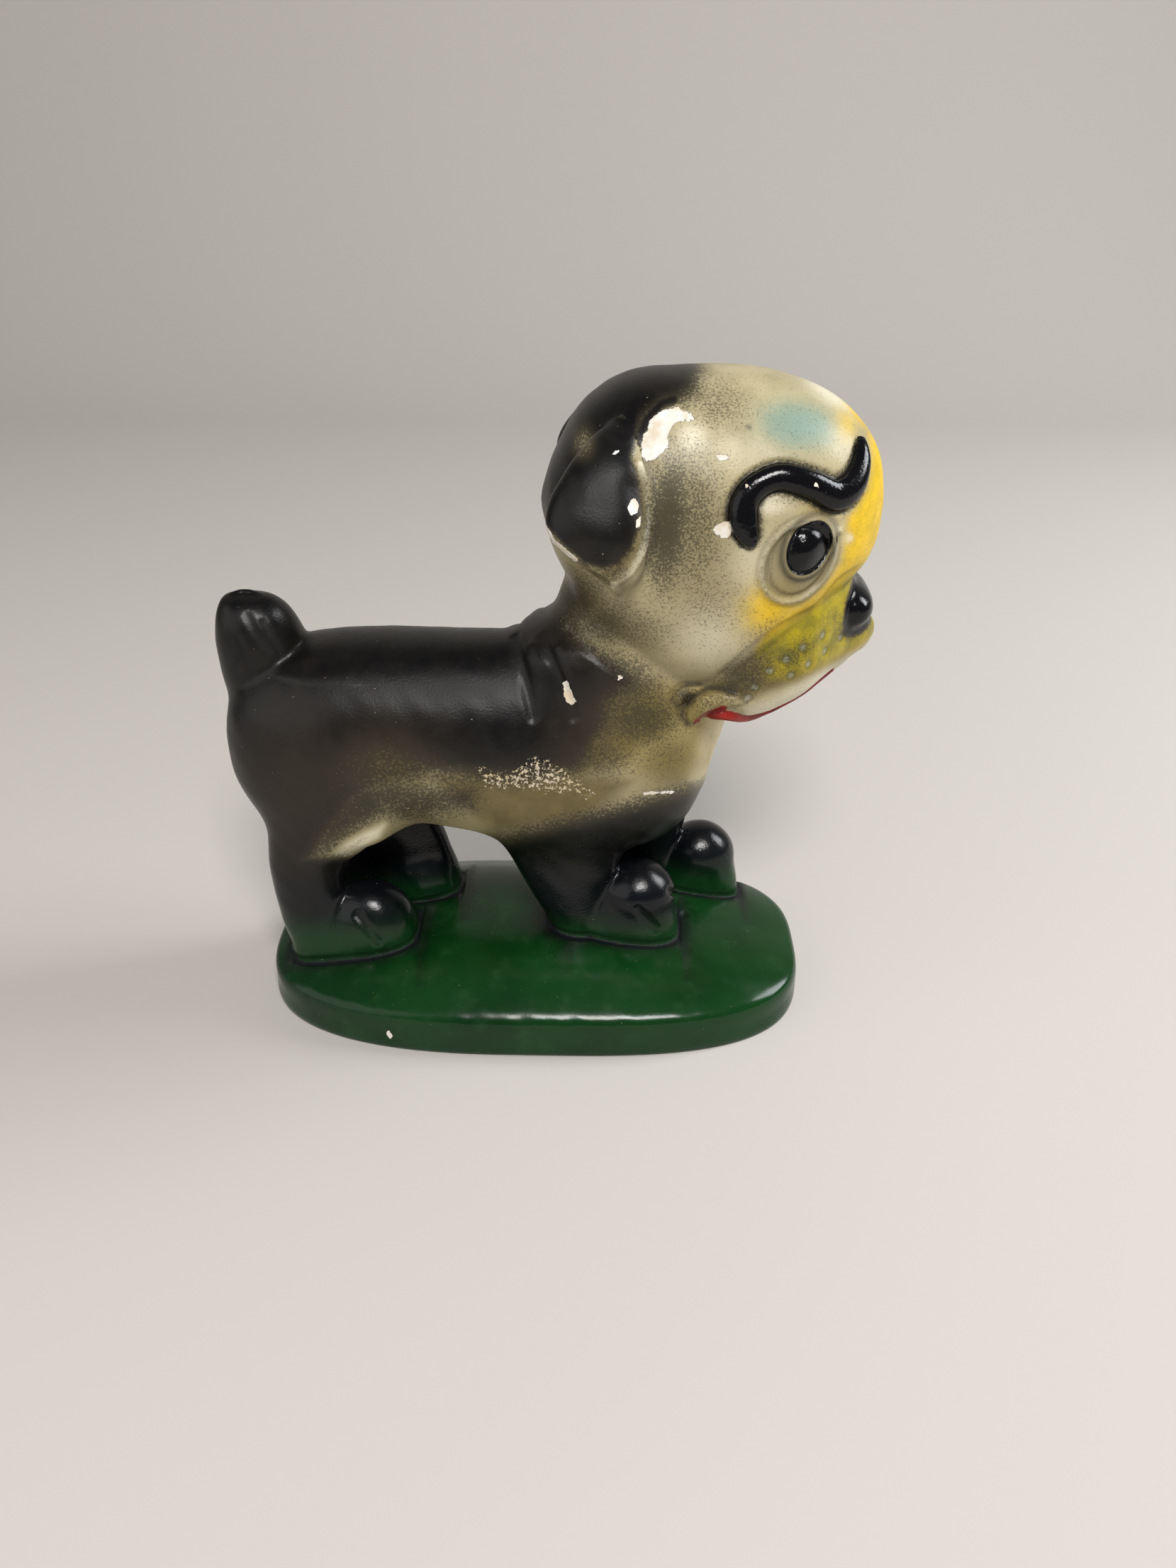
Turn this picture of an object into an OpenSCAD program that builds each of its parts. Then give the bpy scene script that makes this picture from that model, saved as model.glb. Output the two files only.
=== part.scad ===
// Chalkware puppy standing in profile on a domed oval base.
// The puppy faces +X, +Z is up, and the origin is the middle of the base's underside.
// Right and left are the puppy's own: its right flank looks toward -Y.

/* [Base] */
// Length of the oval base
base_length = 131; // [118:1:145]
// Width of the oval base
base_width = 67; // [62:1:72]
// Height of the upright rim
rim_height = 10; // [8:0.5:12]
// Height of the domed top in the middle
crown_height = 19.5; // [18:0.5:21.5]

/* [Body] */
// Length of the trunk from rump to chest
trunk_length = 109; // [102:0.5:114]
// Depth of the trunk from back to belly
trunk_depth = 44; // [40:0.5:48]
// Width of the trunk
trunk_width = 41; // [36:0.5:46]
// Height of the back above the table
back_height = 92.5; // [88:0.5:97]
// Width of the neck
neck_width = 37; // [33:0.5:40]
// Height of the upright tail
tail_height = 25; // [20:0.5:30]
// Thickness of the tail
tail_width = 17; // [14:0.5:20]

/* [Head] */
// Length of the head from nape to forehead
head_length = 69.5; // [64:0.5:75]
// Height of the head
head_height = 68; // [64:0.5:74]
// How far the chin hangs below the back
head_drop = 11; // [8:0.5:14]
// Width of the head
head_width = 52; // [46:0.5:58]
// Width of the muzzle
muzzle_width = 44; // [38:0.5:48]
// Width of the ball nose
nose_width = 20; // [16:0.5:23]
// Height of the eye
eye_height = 17; // [15:0.5:19]
// Thickness of the raised brow
brow_width = 5.4; // [4.4:0.1:6]
// Length of the drooping ear
ear_length = 30; // [27:0.5:33]
// Width of the drooping ear
ear_width = 21; // [18:0.5:24]

/* [Legs] */
// Spacing of the right and left legs
leg_spacing = 22; // [18:0.5:24]
// Thickness of a leg above its paw
leg_width = 14; // [12:0.5:16]
// Width of a paw
paw_width = 17; // [14:0.5:19]
// Length of a front paw
paw_length = 25; // [21:0.5:28]
// How far each left paw stands ahead of the right one
stride = 14; // [8:0.5:17]

/* [Modelled detail] */
// Width of a carved line
groove_width = 1.6; // [1:0.1:2.4]
// Width of a whisker hole
whisker_width = 2; // [1.4:0.1:2.6]

/* [Hidden] */

RIGHT = -1;
LEFT = 1;
COAT = "#1c1a18";
CREAM = "#c9c09a";
YELLOW = "#e3c32a";
GREEN = "#12401b";
RED = "#a5352b";

// Where the trunk, head and legs stand
rump_x = -0.527 * base_length;
chest_x = rump_x + trunk_length;
belly_z = back_height - trunk_depth;
nape_x = chest_x - 0.33 * trunk_length;
face_x = nape_x + head_length;
chin_z = back_height - head_drop;
front_leg_x = chest_x - 0.284 * trunk_length;
hind_leg_x = rump_x + 0.138 * trunk_length;

// A value that runs smoothly through rows of numbers
function curve(p, q, r, s, t) =
    (2 * q + (r - p) * t + (2 * p - 5 * q + 4 * r - s) * t * t + (3 * q - p - 3 * r + s) * t * t * t) / 2;
function along(rows, u) =
    let (last = len(rows) - 1, k = min(floor(u), last - 1))
    curve(rows[max(k - 1, 0)], rows[k], rows[k + 1], rows[min(k + 2, last)], u - k);
function smooth(rows, steps) = [for (i = [0 : steps]) along(rows, i * (len(rows) - 1) / steps)];

// A closed ring about c with half axes u and v: power 2 is an ellipse, more is squarer,
// and under is how deep its lower half is against the upper one
function bulge(v, power) = sign(v) * pow(abs(v), 2 / power);
function ring(c, u, v, power, n, under = 1) =
    [for (i = [0 : n - 1])
        let (s = sin(360 * i / n))
        c + u * bulge(cos(360 * i / n), power) + v * bulge(s, power) * (s < 0 ? under : 1)];

// A solid stretched between two rings, and a form stretched over many
module span(a, b) {
    n = len(a);
    hull() polyhedron(
        points = concat(a, b),
        faces = concat(
            [[for (i = [0 : n - 1]) i], [for (i = [n - 1 : -1 : 0]) n + i]],
            [for (i = [0 : n - 1]) [i, n + i, n + (i + 1) % n, (i + 1) % n]]
        )
    );
}
module skin(rings) {
    for (i = [0 : len(rings) - 2]) span(rings[i], rings[i + 1]);
}

// Rings square to a path that never runs along the flat direction, with one thickness at each point
function unit(v) = v / max(norm(v), 0.001);
function path_rings(path, radii, n, flat) =
    let (last = len(path) - 1)
    [for (i = [0 : last])
        let (t = unit(path[min(i + 1, last)] - path[max(i - 1, 0)]), side = unit(cross(t, flat)))
        ring(path[i], side * radii[i], cross(side, t) * radii[i], 2, n)];
module rope(path, radii, n = 8, flat = [0, 1, 0]) {
    rings = path_rings(path, radii, n, flat);
    last = len(rings) - 1;
    polyhedron(
        points = [for (r = rings) for (p = r) p],
        faces = concat(
            [[for (i = [n - 1 : -1 : 0]) i], [for (i = [0 : n - 1]) last * n + i]],
            tube_faces(last, n, len(rings))
        )
    );
}
module loop(path, radius, n) {
    count = len(path);
    around = [for (i = [-1 : count]) path[(i + count) % count]];
    rings = path_rings(around, [for (p = around) radius], n, [0, 1, 0]);
    polyhedron(
        points = [for (i = [1 : count]) for (p = rings[i]) p],
        faces = tube_faces(count, n, count)
    );
}
function tube_faces(spans, n, count) =
    [for (k = [0 : spans - 1]) for (i = [0 : n - 1])
        let (a = k * n, b = (k + 1) % count * n, j = (i + 1) % n)
        for (half = [[a + i, b + j, b + i], [a + i, a + j, b + j]]) half];

// Base: an oval that is squarer under the chest than under the tail
function base_ring(z, scale) =
    [for (a = [0 : 10 : 350])
        let (power = cos(a) > 0 ? 3 : 2.6)
        [base_length / 2 * scale * bulge(cos(a), power),
            base_width / 2 * scale * bulge(sin(a), power), z]];
function dome_z(scale) = rim_height + (crown_height - rim_height) * (1 - pow(scale, 2.7));
module base_form() {
    skin(concat(
        [base_ring(0, 0.985), base_ring(1, 1), base_ring(rim_height - 2, 0.995)],
        [for (s = [0.975, 0.94, 0.88, 0.78, 0.64, 0.42, 0.1]) base_ring(dome_z(s), s)]
    ));
}

// Trunk: rows of percent along it, and of belly, back and width
trunk_rows = [
    [0, 34, 56, 24], [2.5, 12, 73, 54], [8, -2, 87, 78], [18, -6, 97, 95], [32, -1, 100, 100],
    [48, -6, 100, 100], [60, -14, 100, 98], [75, -19, 99, 96], [88, -17, 88, 84],
    [96, -4, 66, 56], [100, 14, 40, 22]
];
module trunk_form() {
    skin([for (r = smooth(trunk_rows, 18))
        ring(
            [rump_x + r[0] / 100 * trunk_length, 0, belly_z + (r[1] + r[2]) / 200 * trunk_depth],
            [0, r[3] / 200 * trunk_width, 0], [0, 0, (r[2] - r[1]) / 200 * trunk_depth], 2.2, 22
        )]);
}

// Neck: rows of percent up it, of its back and front edge along the neck's reach, and of its width
neck_reach = 0.477 * trunk_length;
neck_rows = [
    [0, 14, 60, 50], [20, -2, 72, 84], [40, -14, 79.5, 97], [62, -18, 82, 98], [70, -12, 81, 96],
    [77, 1, 80, 92],
    [88, 7, 74, 84], [100, 10, 66, 70]
];
neck_low = belly_z + 2;
neck_high = chin_z + head_height * 0.46;
module neck_form() {
    skin([for (r = smooth(neck_rows, 10))
        ring(
            [nape_x + (r[1] + r[2]) / 200 * neck_reach, 0,
                neck_low + r[0] / 100 * (neck_high - neck_low)],
            [(r[2] - r[1]) / 200 * neck_reach, 0, 0], [0, r[3] / 200 * neck_width, 0], 2.1, 20
        )]);
}

// How far the side of the neck stands out, and the two folds carved behind the cheek
neck_stations = [for (r = smooth(neck_rows, 10))
    [neck_low + r[0] / 100 * (neck_high - neck_low),
        nape_x + (r[1] + r[2]) / 200 * neck_reach, (r[2] - r[1]) / 200 * neck_reach,
        r[3] / 200 * neck_width]];
function neck_value(z, column) = lookup(z, [for (s = neck_stations) [s[0], s[column]]]);
function neck_side(x, z) =
    let (run = min(abs(x - neck_value(z, 1)) / neck_value(z, 2), 0.99))
    neck_value(z, 3) * pow(1 - pow(run, 2.1), 1 / 2.1);
neck_folds = [[[-15, 64], [-13, 48], [-8, 34]], [[2, 64], [6, 50], [12, 36]]];
module neck_grooves(side) {
    for (fold = neck_folds) {
        path = [for (p = smooth(fold, 5))
            let (x = nape_x + p[0] / 100 * neck_reach, z = neck_low + p[1] / 80 * (neck_high - neck_low))
            [x, side * neck_side(x, z), z]];
        rope(path, [for (i = [0 : 5]) groove_width / 2 * (0.5 + 0.5 * sin(36 * i))], 5);
    }
}

// Head: rows of percent along it, and of chin, crown and width
head_rows = [
    [0, 56, 66, 16], [3.5, 45, 76, 44], [11.5, 31, 89.5, 72], [24.5, 15, 98, 92],
    [42, 3, 100, 100], [59, 3, 99.8, 100],
    [72, 15, 97, 95], [83.5, 29, 92, 80], [92, 38, 85, 60], [97.3, 45, 77, 38], [100, 54, 66, 14]
];
head_power = 2.25;
head_stations = [for (r = smooth(head_rows, 19))
    [nape_x + r[0] / 100 * head_length, chin_z + (r[1] + r[2]) / 200 * head_height,
        (r[2] - r[1]) / 200 * head_height, r[3] / 200 * head_width]];
module head_form() {
    skin([for (s = head_stations) ring([s[0], 0, s[1]], [0, s[3], 0], [0, 0, s[2]], head_power, 30)]);
}

// How far the side of the head stands out at a place of the face
function head_value(x, column) = lookup(x, [for (s = head_stations) [s[0], s[column]]]);
function head_side(x, z) =
    let (rise = min(abs(z - head_value(x, 1)) / head_value(x, 2), 0.99))
    head_value(x, 3) * pow(1 - pow(rise, head_power), 1 / head_power);
// A place given in percent of the head's length and height, laid on its side and lifted off it
function face(side, p, lift = 0) =
    let (x = nape_x + p[0] / 100 * head_length, z = chin_z + p[1] / 100 * head_height)
    [x, side * (head_side(x, z) + lift), z];

// Muzzle: rows of percent of the head, from the mouth corners to the tip, and of its own width
muzzle_rows = [
    [46, 2, 10, 50], [49, -1, 16, 84], [56, -3.5, 25, 98], [66, -4, 36, 100], [78, 1, 46, 94],
    [88, 7, 47, 66],
    [93, 9.5, 41, 50], [97, 12, 34, 38], [100, 14, 27, 28], [102.5, 17, 23, 12]
];
muzzle_power = 2.6;
muzzle_stations = [for (r = smooth(muzzle_rows, 12))
    [nape_x + r[0] / 100 * head_length, chin_z + (r[1] + r[2]) / 200 * head_height,
        (r[2] - r[1]) / 200 * head_height, r[3] / 200 * muzzle_width]];
module muzzle_form() {
    skin([for (s = muzzle_stations) ring([s[0], 0, s[1]], [0, s[3], 0], [0, 0, s[2]], muzzle_power, 20)]);
}

// Whisker holes: rows of percent of the head's length and height, sunk in the side of the muzzle
function muzzle_value(x, column) = lookup(x, [for (s = muzzle_stations) [s[0], s[column]]]);
function muzzle_side(x, z) =
    let (rise = min(abs(z - muzzle_value(x, 1)) / muzzle_value(x, 2), 0.99))
    muzzle_value(x, 3) * pow(1 - pow(rise, muzzle_power), 1 / muzzle_power);
whisker_rows = [[83, 28], [76.5, 26], [71.5, 22.5], [67, 19], [84.5, 22], [79, 20], [73.5, 17],
    [63, 13.5]];
module whisker_holes(side) {
    for (r = whisker_rows) {
        x = nape_x + r[0] / 100 * head_length;
        z = chin_z + r[1] / 100 * head_height;
        y = side * (muzzle_side(x, z) + whisker_width * 0.15);
        translate([x, y, z]) sphere(whisker_width / 2, $fn = 6);
    }
}

// Nose
module nose_form() {
    translate([face_x - nose_width * 0.155, 0, chin_z + head_height * 0.28])
        scale([0.245, 0.5, 0.25] * nose_width) sphere(1, $fn = 18);
}

// Jowl: the lobe and the small roll that curl round each mouth corner
function mouth(side, p) =
    [nape_x + p[0] / 100 * head_length, side * p[2] / 200 * muzzle_width,
        chin_z + p[1] / 100 * head_height];
module jowl_form(side) {
    lobe = [[60.6, 8.9, 97], [57.4, 9.5, 96], [53.6, 9.1, 92.4], [50.3, 7.2, 85.3],
        [47.6, 3.6, 75.2], [45.9, -0.3, 65.3]];
    roll = [[48, 9.3, 74], [45.4, 8.3, 70], [43.3, 6.9, 68.5]];
    rope(
        smooth([for (r = lobe) mouth(side, r)], 10),
        [for (t = [0 : 10]) head_height * (0.018 + 0.024 * sin(13 * t))], 8
    );
    rope(smooth([for (r = roll) mouth(side, r)], 5),
        [for (t = [0 : 5]) head_height * (0.02 + 0.001 * t)], 7);
}

// Lips: one red edge along the underside of the muzzle, from corner to corner
lip_rows = [[49, -60], [52.5, -89], [57, -88], [62, -72], [68, -56], [76, -48], [85, -42],
    [92, -28], [95.5, 0]];
function underside(p) =
    let (x = nape_x + p[0] / 100 * head_length, side = p[1] / 100)
    let (drop = pow(1 - pow(abs(side), muzzle_power), 1 / muzzle_power))
    [x, side * muzzle_value(x, 3), muzzle_value(x, 1) - muzzle_value(x, 2) * drop];
module lips_form() {
    steps = 20;
    far = [for (i = [len(lip_rows) - 2 : -1 : 0]) [lip_rows[i][0], -lip_rows[i][1]]];
    rope(
        [for (p = smooth(concat(lip_rows, far), steps)) underside(p)],
        [for (i = [0 : steps]) head_height * (0.019 + 0.01 * pow(2 * i / steps - 1, 2))],
        6, [0, 0, 1]
    );
}

// Brow: a raised S laid on the side of the head
brow_rows = [[58.5, 60.5], [56, 66], [56, 71.5], [59.5, 76], [66, 78], [74.5, 75.5], [81.5, 72],
    [86.5, 73.5], [89, 78.5], [89, 83.5]];
module brow_form(side) {
    steps = 15;
    rope(
        smooth([for (r = brow_rows) face(side, r, brow_width * 0.1)], steps),
        [for (i = [0 : steps])
            brow_width / 2 * (1.1 - 0.55 * pow(i / steps, 4) - 0.25 * pow(1 - i / steps, 8))],
        7
    );
}

// Eye: a low oval ball with a raised rim, and a domed pupil in a ring
eye_tilt = 20;
eye_place = [72, 54];
pupil_place = [74.5, 57.5];
function oval(place, width, height, a) =
    let (u = width * cos(a), v = height * sin(a))
    place + [(u * cos(eye_tilt) + v * sin(eye_tilt)) / head_length,
        (v * cos(eye_tilt) - u * sin(eye_tilt)) / head_height] * 100;
module face_dome(side, place, width, height, swell, sink) {
    skin([for (s = [1, 0.92, 0.7, 0.4, 0.08])
        [for (a = [0 : 22.5 : 337.5]) face(side, oval(place, width * s, height * s, a),
            swell * (1 - pow(s, 3)) - sink * pow(s, 8))]]);
}
module face_ring(side, place, width, height, thickness, lift) {
    loop(
        [for (a = [0 : 22.5 : 337.5]) face(side, oval(place, width, height, a), lift)],
        thickness / 2, 5
    );
}
eye_half = eye_height / 2;
module eye_form(side) {
    face_dome(side, eye_place, eye_half * 0.97, eye_half * 1.11, eye_half * 0.12, eye_half * 0.19);
    face_ring(side, eye_place, eye_half * 0.82, eye_half * 0.96, 0.24 * eye_half, eye_half * 0.024);
    face_ring(side, pupil_place, eye_half * 0.56, eye_half * 0.68, 0.22 * eye_half, eye_half * 0.106);
}
module pupil_form(side) {
    face_dome(side, pupil_place, eye_half * 0.55, eye_half * 0.67, eye_half * 0.3, eye_half * 0.035);
}

// Ear: rows of percent down from its root, and of its back edge, front edge, stand-off and thickness
ear_rows = [
    [0, 62, 80, 54, 30], [8, 42, 84, 66, 62], [22, 22, 88, 82, 84], [42, 4, 91, 94, 96],
    [58, 2, 94, 101, 94], [72, 16, 94, 104, 84], [86, 44, 90, 106, 62], [97, 60, 78, 106, 28]
];
ear_top = chin_z + head_height * 0.9;
module ear_form(side) {
    skin([for (r = smooth(ear_rows, 10))
        ring(
            [nape_x + 0.02 * head_length + (r[1] + r[2]) / 200 * ear_width,
                side * r[3] / 100 * head_width * 0.5, ear_top - r[0] / 100 * ear_length],
            [(r[2] - r[1]) / 200 * ear_width, 0, 0], [0, r[4] / 100 * 0.26 * ear_width, 0], 2, 16
        )]);
}

// Tail: rows of percent up it, and of its back edge, front edge and width
tail_rows = [
    [0, 7, 130, 84], [22, 1, 130, 98], [45, -1, 125, 104], [66, 0, 117, 100], [84, 6, 104, 84],
    [95, 14, 88, 56], [100, 26, 72, 20]
];
module tail_form() {
    low = back_height - tail_height * 0.62;
    skin([for (r = smooth(tail_rows, 10))
        ring(
            [rump_x + (r[1] + r[2]) / 200 * tail_width, 0, low + r[0] / 100 * tail_height],
            [(r[2] - r[1]) / 200 * tail_width, 0, 0], [0, r[3] / 200 * tail_width, 0], 2.1, 16
        )]);
}

// Two carved lines down each side of the tail
module tail_grooves(side) {
    for (shift = [0, 5])
        translate([rump_x + tail_width * 0.62 + shift, side * tail_width * (0.47 - shift / 60),
            back_height + 3 - shift])
            rotate([0, -22, 0])
                scale([groove_width / 2, groove_width, tail_height * 0.2]) sphere(1, $fn = 8);
}

// Legs: rows of percent of the belly's height, of back and front edge from the leg's own place,
// and of width
hind_rows = [
    [144, -43, 186, 100], [124, -50, 207, 118], [111, -50, 207, 122], [99, -50, 179, 118],
    [90, -53, 129, 108],
    [80, -57, 86, 100], [66, -57, 71, 94], [45, -51, 79, 92], [25, -37, 79, 88]
];
left_hind_rows = [
    [144, -43, 186, 100], [120, -43, 214, 118], [99, -36, 214, 116], [82, -29, 214, 104],
    [66, -21, 229, 98],
    [49, -14, 243, 98], [29, 0, 243, 98]
];
front_rows = [
    [128, -121, 107, 100], [107, -125, 100, 106], [91, -114, 93, 104], [74, -93, 86, 98],
    [58, -68, 71, 94],
    [41, -39, 71, 94], [27, -21, 71, 94]
];
module leg_form(rows, x, y, lean, foot_y) {
    top = rows[0][0];
    skin([for (r = smooth(rows, 9))
        let (down = 1 - pow(r[0] / top, 2))
        ring(
            [x + lean * down + (r[1] + r[2]) / 200 * leg_width, y + (foot_y - y) * down,
                r[0] / 100 * belly_z],
            [(r[2] - r[1]) / 200 * leg_width, 0, 0], [0, r[3] / 200 * leg_width, 0], 2.1, 14
        )]);
}

// Paws: rows of percent along a paw from heel to toes, and of top and width
paw_rows = [[0, 12, 44], [7, 42, 72], [24, 76, 90], [48, 98, 100], [70, 99, 98], [87, 76, 84],
    [97, 42, 62], [100, 12, 44]];
paw_sole = rim_height + 2;
module paw_form(x, y, length, height) {
    skin([for (r = smooth(paw_rows, 10))
        ring(
            [x + r[0] / 100 * length, y, paw_sole], [0, r[2] / 200 * paw_width, 0],
            [0, 0, r[1] / 100 * (height - paw_sole)], 2.5, 16, 0.3
        )]);
}

// Two slits part the toes at the front of a paw
module toe_slits(x, y, length, height) {
    for (shift = [-1, 1])
        translate([x + length * 0.96, y + shift * paw_width * 0.16,
            paw_sole + (height - paw_sole) * 0.64])
            rotate([0, 35, 0])
                scale([length * 0.13, groove_width / 2, (height - paw_sole) * 0.22]) sphere(1, $fn = 8);
}

// Where each leg and paw stands
function flank(side) = side * leg_spacing / 2;
function ahead(side) = side == LEFT ? stride : 0;
module hind_leg_form(side) leg_form(side == LEFT ? left_hind_rows : hind_rows, hind_leg_x,
    flank(side), 0, hind_paw_y(side));
module front_leg_form(side) leg_form(front_rows, front_leg_x + ahead(side),
    flank(side) * 0.9 + 4, ahead(side) * 0.3, front_paw_y(side));
hind_paw_length = paw_length * 1.25;
hind_paw_height = 0.63 * belly_z;
function front_paw_height(side) = belly_z * (side == RIGHT ? 0.73 : 0.66);
function hind_paw_x(side) = hind_leg_x - paw_length * 0.18 + ahead(side) * 0.62;
function hind_paw_y(side) = side == RIGHT ? flank(side) + 3 : flank(side);
function front_paw_x(side) = front_leg_x + 2 + ahead(side) * 1.15;
function front_paw_y(side) = flank(side) * 1.05 + 6.5;
module hind_paw_form(side) paw_form(hind_paw_x(side), hind_paw_y(side), hind_paw_length, hind_paw_height);
module front_paw_form(side) paw_form(front_paw_x(side), front_paw_y(side),
    paw_length, front_paw_height(side));

module base() {
    color(GREEN) base_form();
}
module trunk() {
    color(COAT) trunk_form();
}
module neck() {
    color(CREAM) difference() {
        neck_form();
        trunk_form();
        head_form();
        muzzle_form();
        lips_form();
        for (side = [RIGHT, LEFT]) {
            jowl_form(side);
            neck_grooves(side);
        }
    }
}
module tail() {
    color(COAT) difference() {
        tail_form();
        trunk_form();
        for (side = [RIGHT, LEFT]) tail_grooves(side);
    }
}
module head() {
    color(CREAM) difference() {
        head_form();
        nose_form();
        lips_form();
        for (side = [RIGHT, LEFT]) {
            brow_form(side);
            eye_form(side);
            jowl_form(side);
        }
    }
}
module muzzle() {
    color(YELLOW) difference() {
        muzzle_form();
        head_form();
        nose_form();
        lips_form();
        for (side = [RIGHT, LEFT]) {
            jowl_form(side);
            whisker_holes(side);
        }
    }
}
module lips() {
    color(RED) difference() {
        lips_form();
        for (side = [RIGHT, LEFT]) jowl_form(side);
    }
}
module nose() {
    color(COAT) nose_form();
}
module jowl(side) {
    color(CREAM) jowl_form(side);
}
module brow(side) {
    color(COAT) brow_form(side);
}
module eye(side) {
    color(CREAM) difference() {
        eye_form(side);
        pupil_form(side);
    }
}
module pupil(side) {
    color(COAT) pupil_form(side);
}
module ear(side) {
    color(COAT) difference() {
        ear_form(side);
        head_form();
    }
}
module hind_leg(side) {
    color(COAT) difference() {
        hind_leg_form(side);
        trunk_form();
        hind_paw_form(side);
        base_form();
    }
}
module front_leg(side) {
    color(COAT) difference() {
        front_leg_form(side);
        trunk_form();
        neck_form();
        front_paw_form(side);
        base_form();
    }
}
module hind_paw(side) {
    color(GREEN) difference() {
        hind_paw_form(side);
        base_form();
        toe_slits(hind_paw_x(side), hind_paw_y(side), hind_paw_length, hind_paw_height);
    }
}
module front_paw(side) {
    color(GREEN) difference() {
        front_paw_form(side);
        base_form();
        toe_slits(front_paw_x(side), front_paw_y(side), paw_length, front_paw_height(side));
    }
}

base();
trunk();
neck();
tail();
head();
muzzle();
lips();
nose();
jowl(RIGHT);  // right_jowl
jowl(LEFT);  // left_jowl
brow(RIGHT);  // right_brow
brow(LEFT);  // left_brow
eye(RIGHT);  // right_eye
eye(LEFT);  // left_eye
pupil(RIGHT);  // right_pupil
pupil(LEFT);  // left_pupil
ear(RIGHT);  // right_ear
ear(LEFT);  // left_ear
hind_leg(RIGHT);  // right_hind_leg
hind_leg(LEFT);  // left_hind_leg
front_leg(RIGHT);  // right_front_leg
front_leg(LEFT);  // left_front_leg
hind_paw(RIGHT);  // right_hind_paw
hind_paw(LEFT);  // left_hind_paw
front_paw(RIGHT);  // right_front_paw
front_paw(LEFT);  // left_front_paw
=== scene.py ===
import math

import bpy
import numpy as np
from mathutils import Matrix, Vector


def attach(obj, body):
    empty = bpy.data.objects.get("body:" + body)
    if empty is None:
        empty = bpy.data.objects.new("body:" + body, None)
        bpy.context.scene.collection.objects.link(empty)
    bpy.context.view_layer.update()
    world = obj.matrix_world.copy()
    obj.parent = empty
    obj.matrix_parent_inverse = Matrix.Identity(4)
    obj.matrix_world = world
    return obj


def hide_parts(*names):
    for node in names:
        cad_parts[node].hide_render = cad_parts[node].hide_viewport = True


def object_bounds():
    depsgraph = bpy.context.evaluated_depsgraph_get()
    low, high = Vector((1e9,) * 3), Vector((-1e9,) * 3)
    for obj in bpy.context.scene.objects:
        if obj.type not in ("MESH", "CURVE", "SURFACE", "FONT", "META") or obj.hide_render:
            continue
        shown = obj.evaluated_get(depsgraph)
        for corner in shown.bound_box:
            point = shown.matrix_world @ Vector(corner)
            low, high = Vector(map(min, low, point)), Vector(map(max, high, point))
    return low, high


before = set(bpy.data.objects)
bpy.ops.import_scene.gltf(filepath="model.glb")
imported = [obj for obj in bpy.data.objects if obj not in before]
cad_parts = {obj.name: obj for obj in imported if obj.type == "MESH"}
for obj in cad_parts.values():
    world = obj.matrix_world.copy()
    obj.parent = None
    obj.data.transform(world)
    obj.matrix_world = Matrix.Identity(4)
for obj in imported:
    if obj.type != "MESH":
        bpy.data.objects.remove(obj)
cad_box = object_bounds()

MM = 0.001
STEP = 0.55      # grid spacing of the modelled surface, in mm

# ---- sizes, as in the part's source, in mm
base_length, base_width, rim_height, crown_height = 131.0, 67.0, 10.0, 19.5
trunk_length, trunk_depth, trunk_width, back_height = 109.0, 44.0, 41.0, 92.5
neck_width, tail_height, tail_width = 37.0, 25.0, 17.0
head_length, head_height, head_width, head_drop = 69.5, 68.0, 52.0, 11.0
muzzle_width, nose_width, eye_height, brow_width = 44.0, 20.0, 17.0, 5.4
ear_length, ear_width = 30.0, 21.0
leg_spacing, leg_width, paw_width, paw_length, stride = 22.0, 14.0, 17.0, 25.0, 14.0
rump_x = -0.527 * base_length
chest_x = rump_x + trunk_length
belly_z = back_height - trunk_depth
nape_x = chest_x - 0.33 * trunk_length
face_x = nape_x + head_length
chin_z = back_height - head_drop
front_leg_x = chest_x - 0.284 * trunk_length
hind_leg_x = rump_x + 0.138 * trunk_length
neck_reach = 0.477 * trunk_length
neck_low, neck_high = belly_z + 2, chin_z + 0.46 * head_height
paw_sole = rim_height + 2


# ---- smooth tables and lofted forms
def spline(rows, n):
    """A smooth (Catmull-Rom) table through the rows, with n samples."""
    rows = np.asarray(rows, float)
    last = len(rows) - 1
    u = np.linspace(0, last, n)
    k = np.minimum(u.astype(int), last - 1)
    t = (u - k)[:, None]
    p, q, r, s = (rows[np.clip(k + o, 0, last)] for o in (-1, 0, 1, 2))
    return (2 * q + (r - p) * t + (2 * p - 5 * q + 4 * r - s) * t ** 2 + (3 * q - p - 3 * r + s) * t ** 3) / 2


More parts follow.
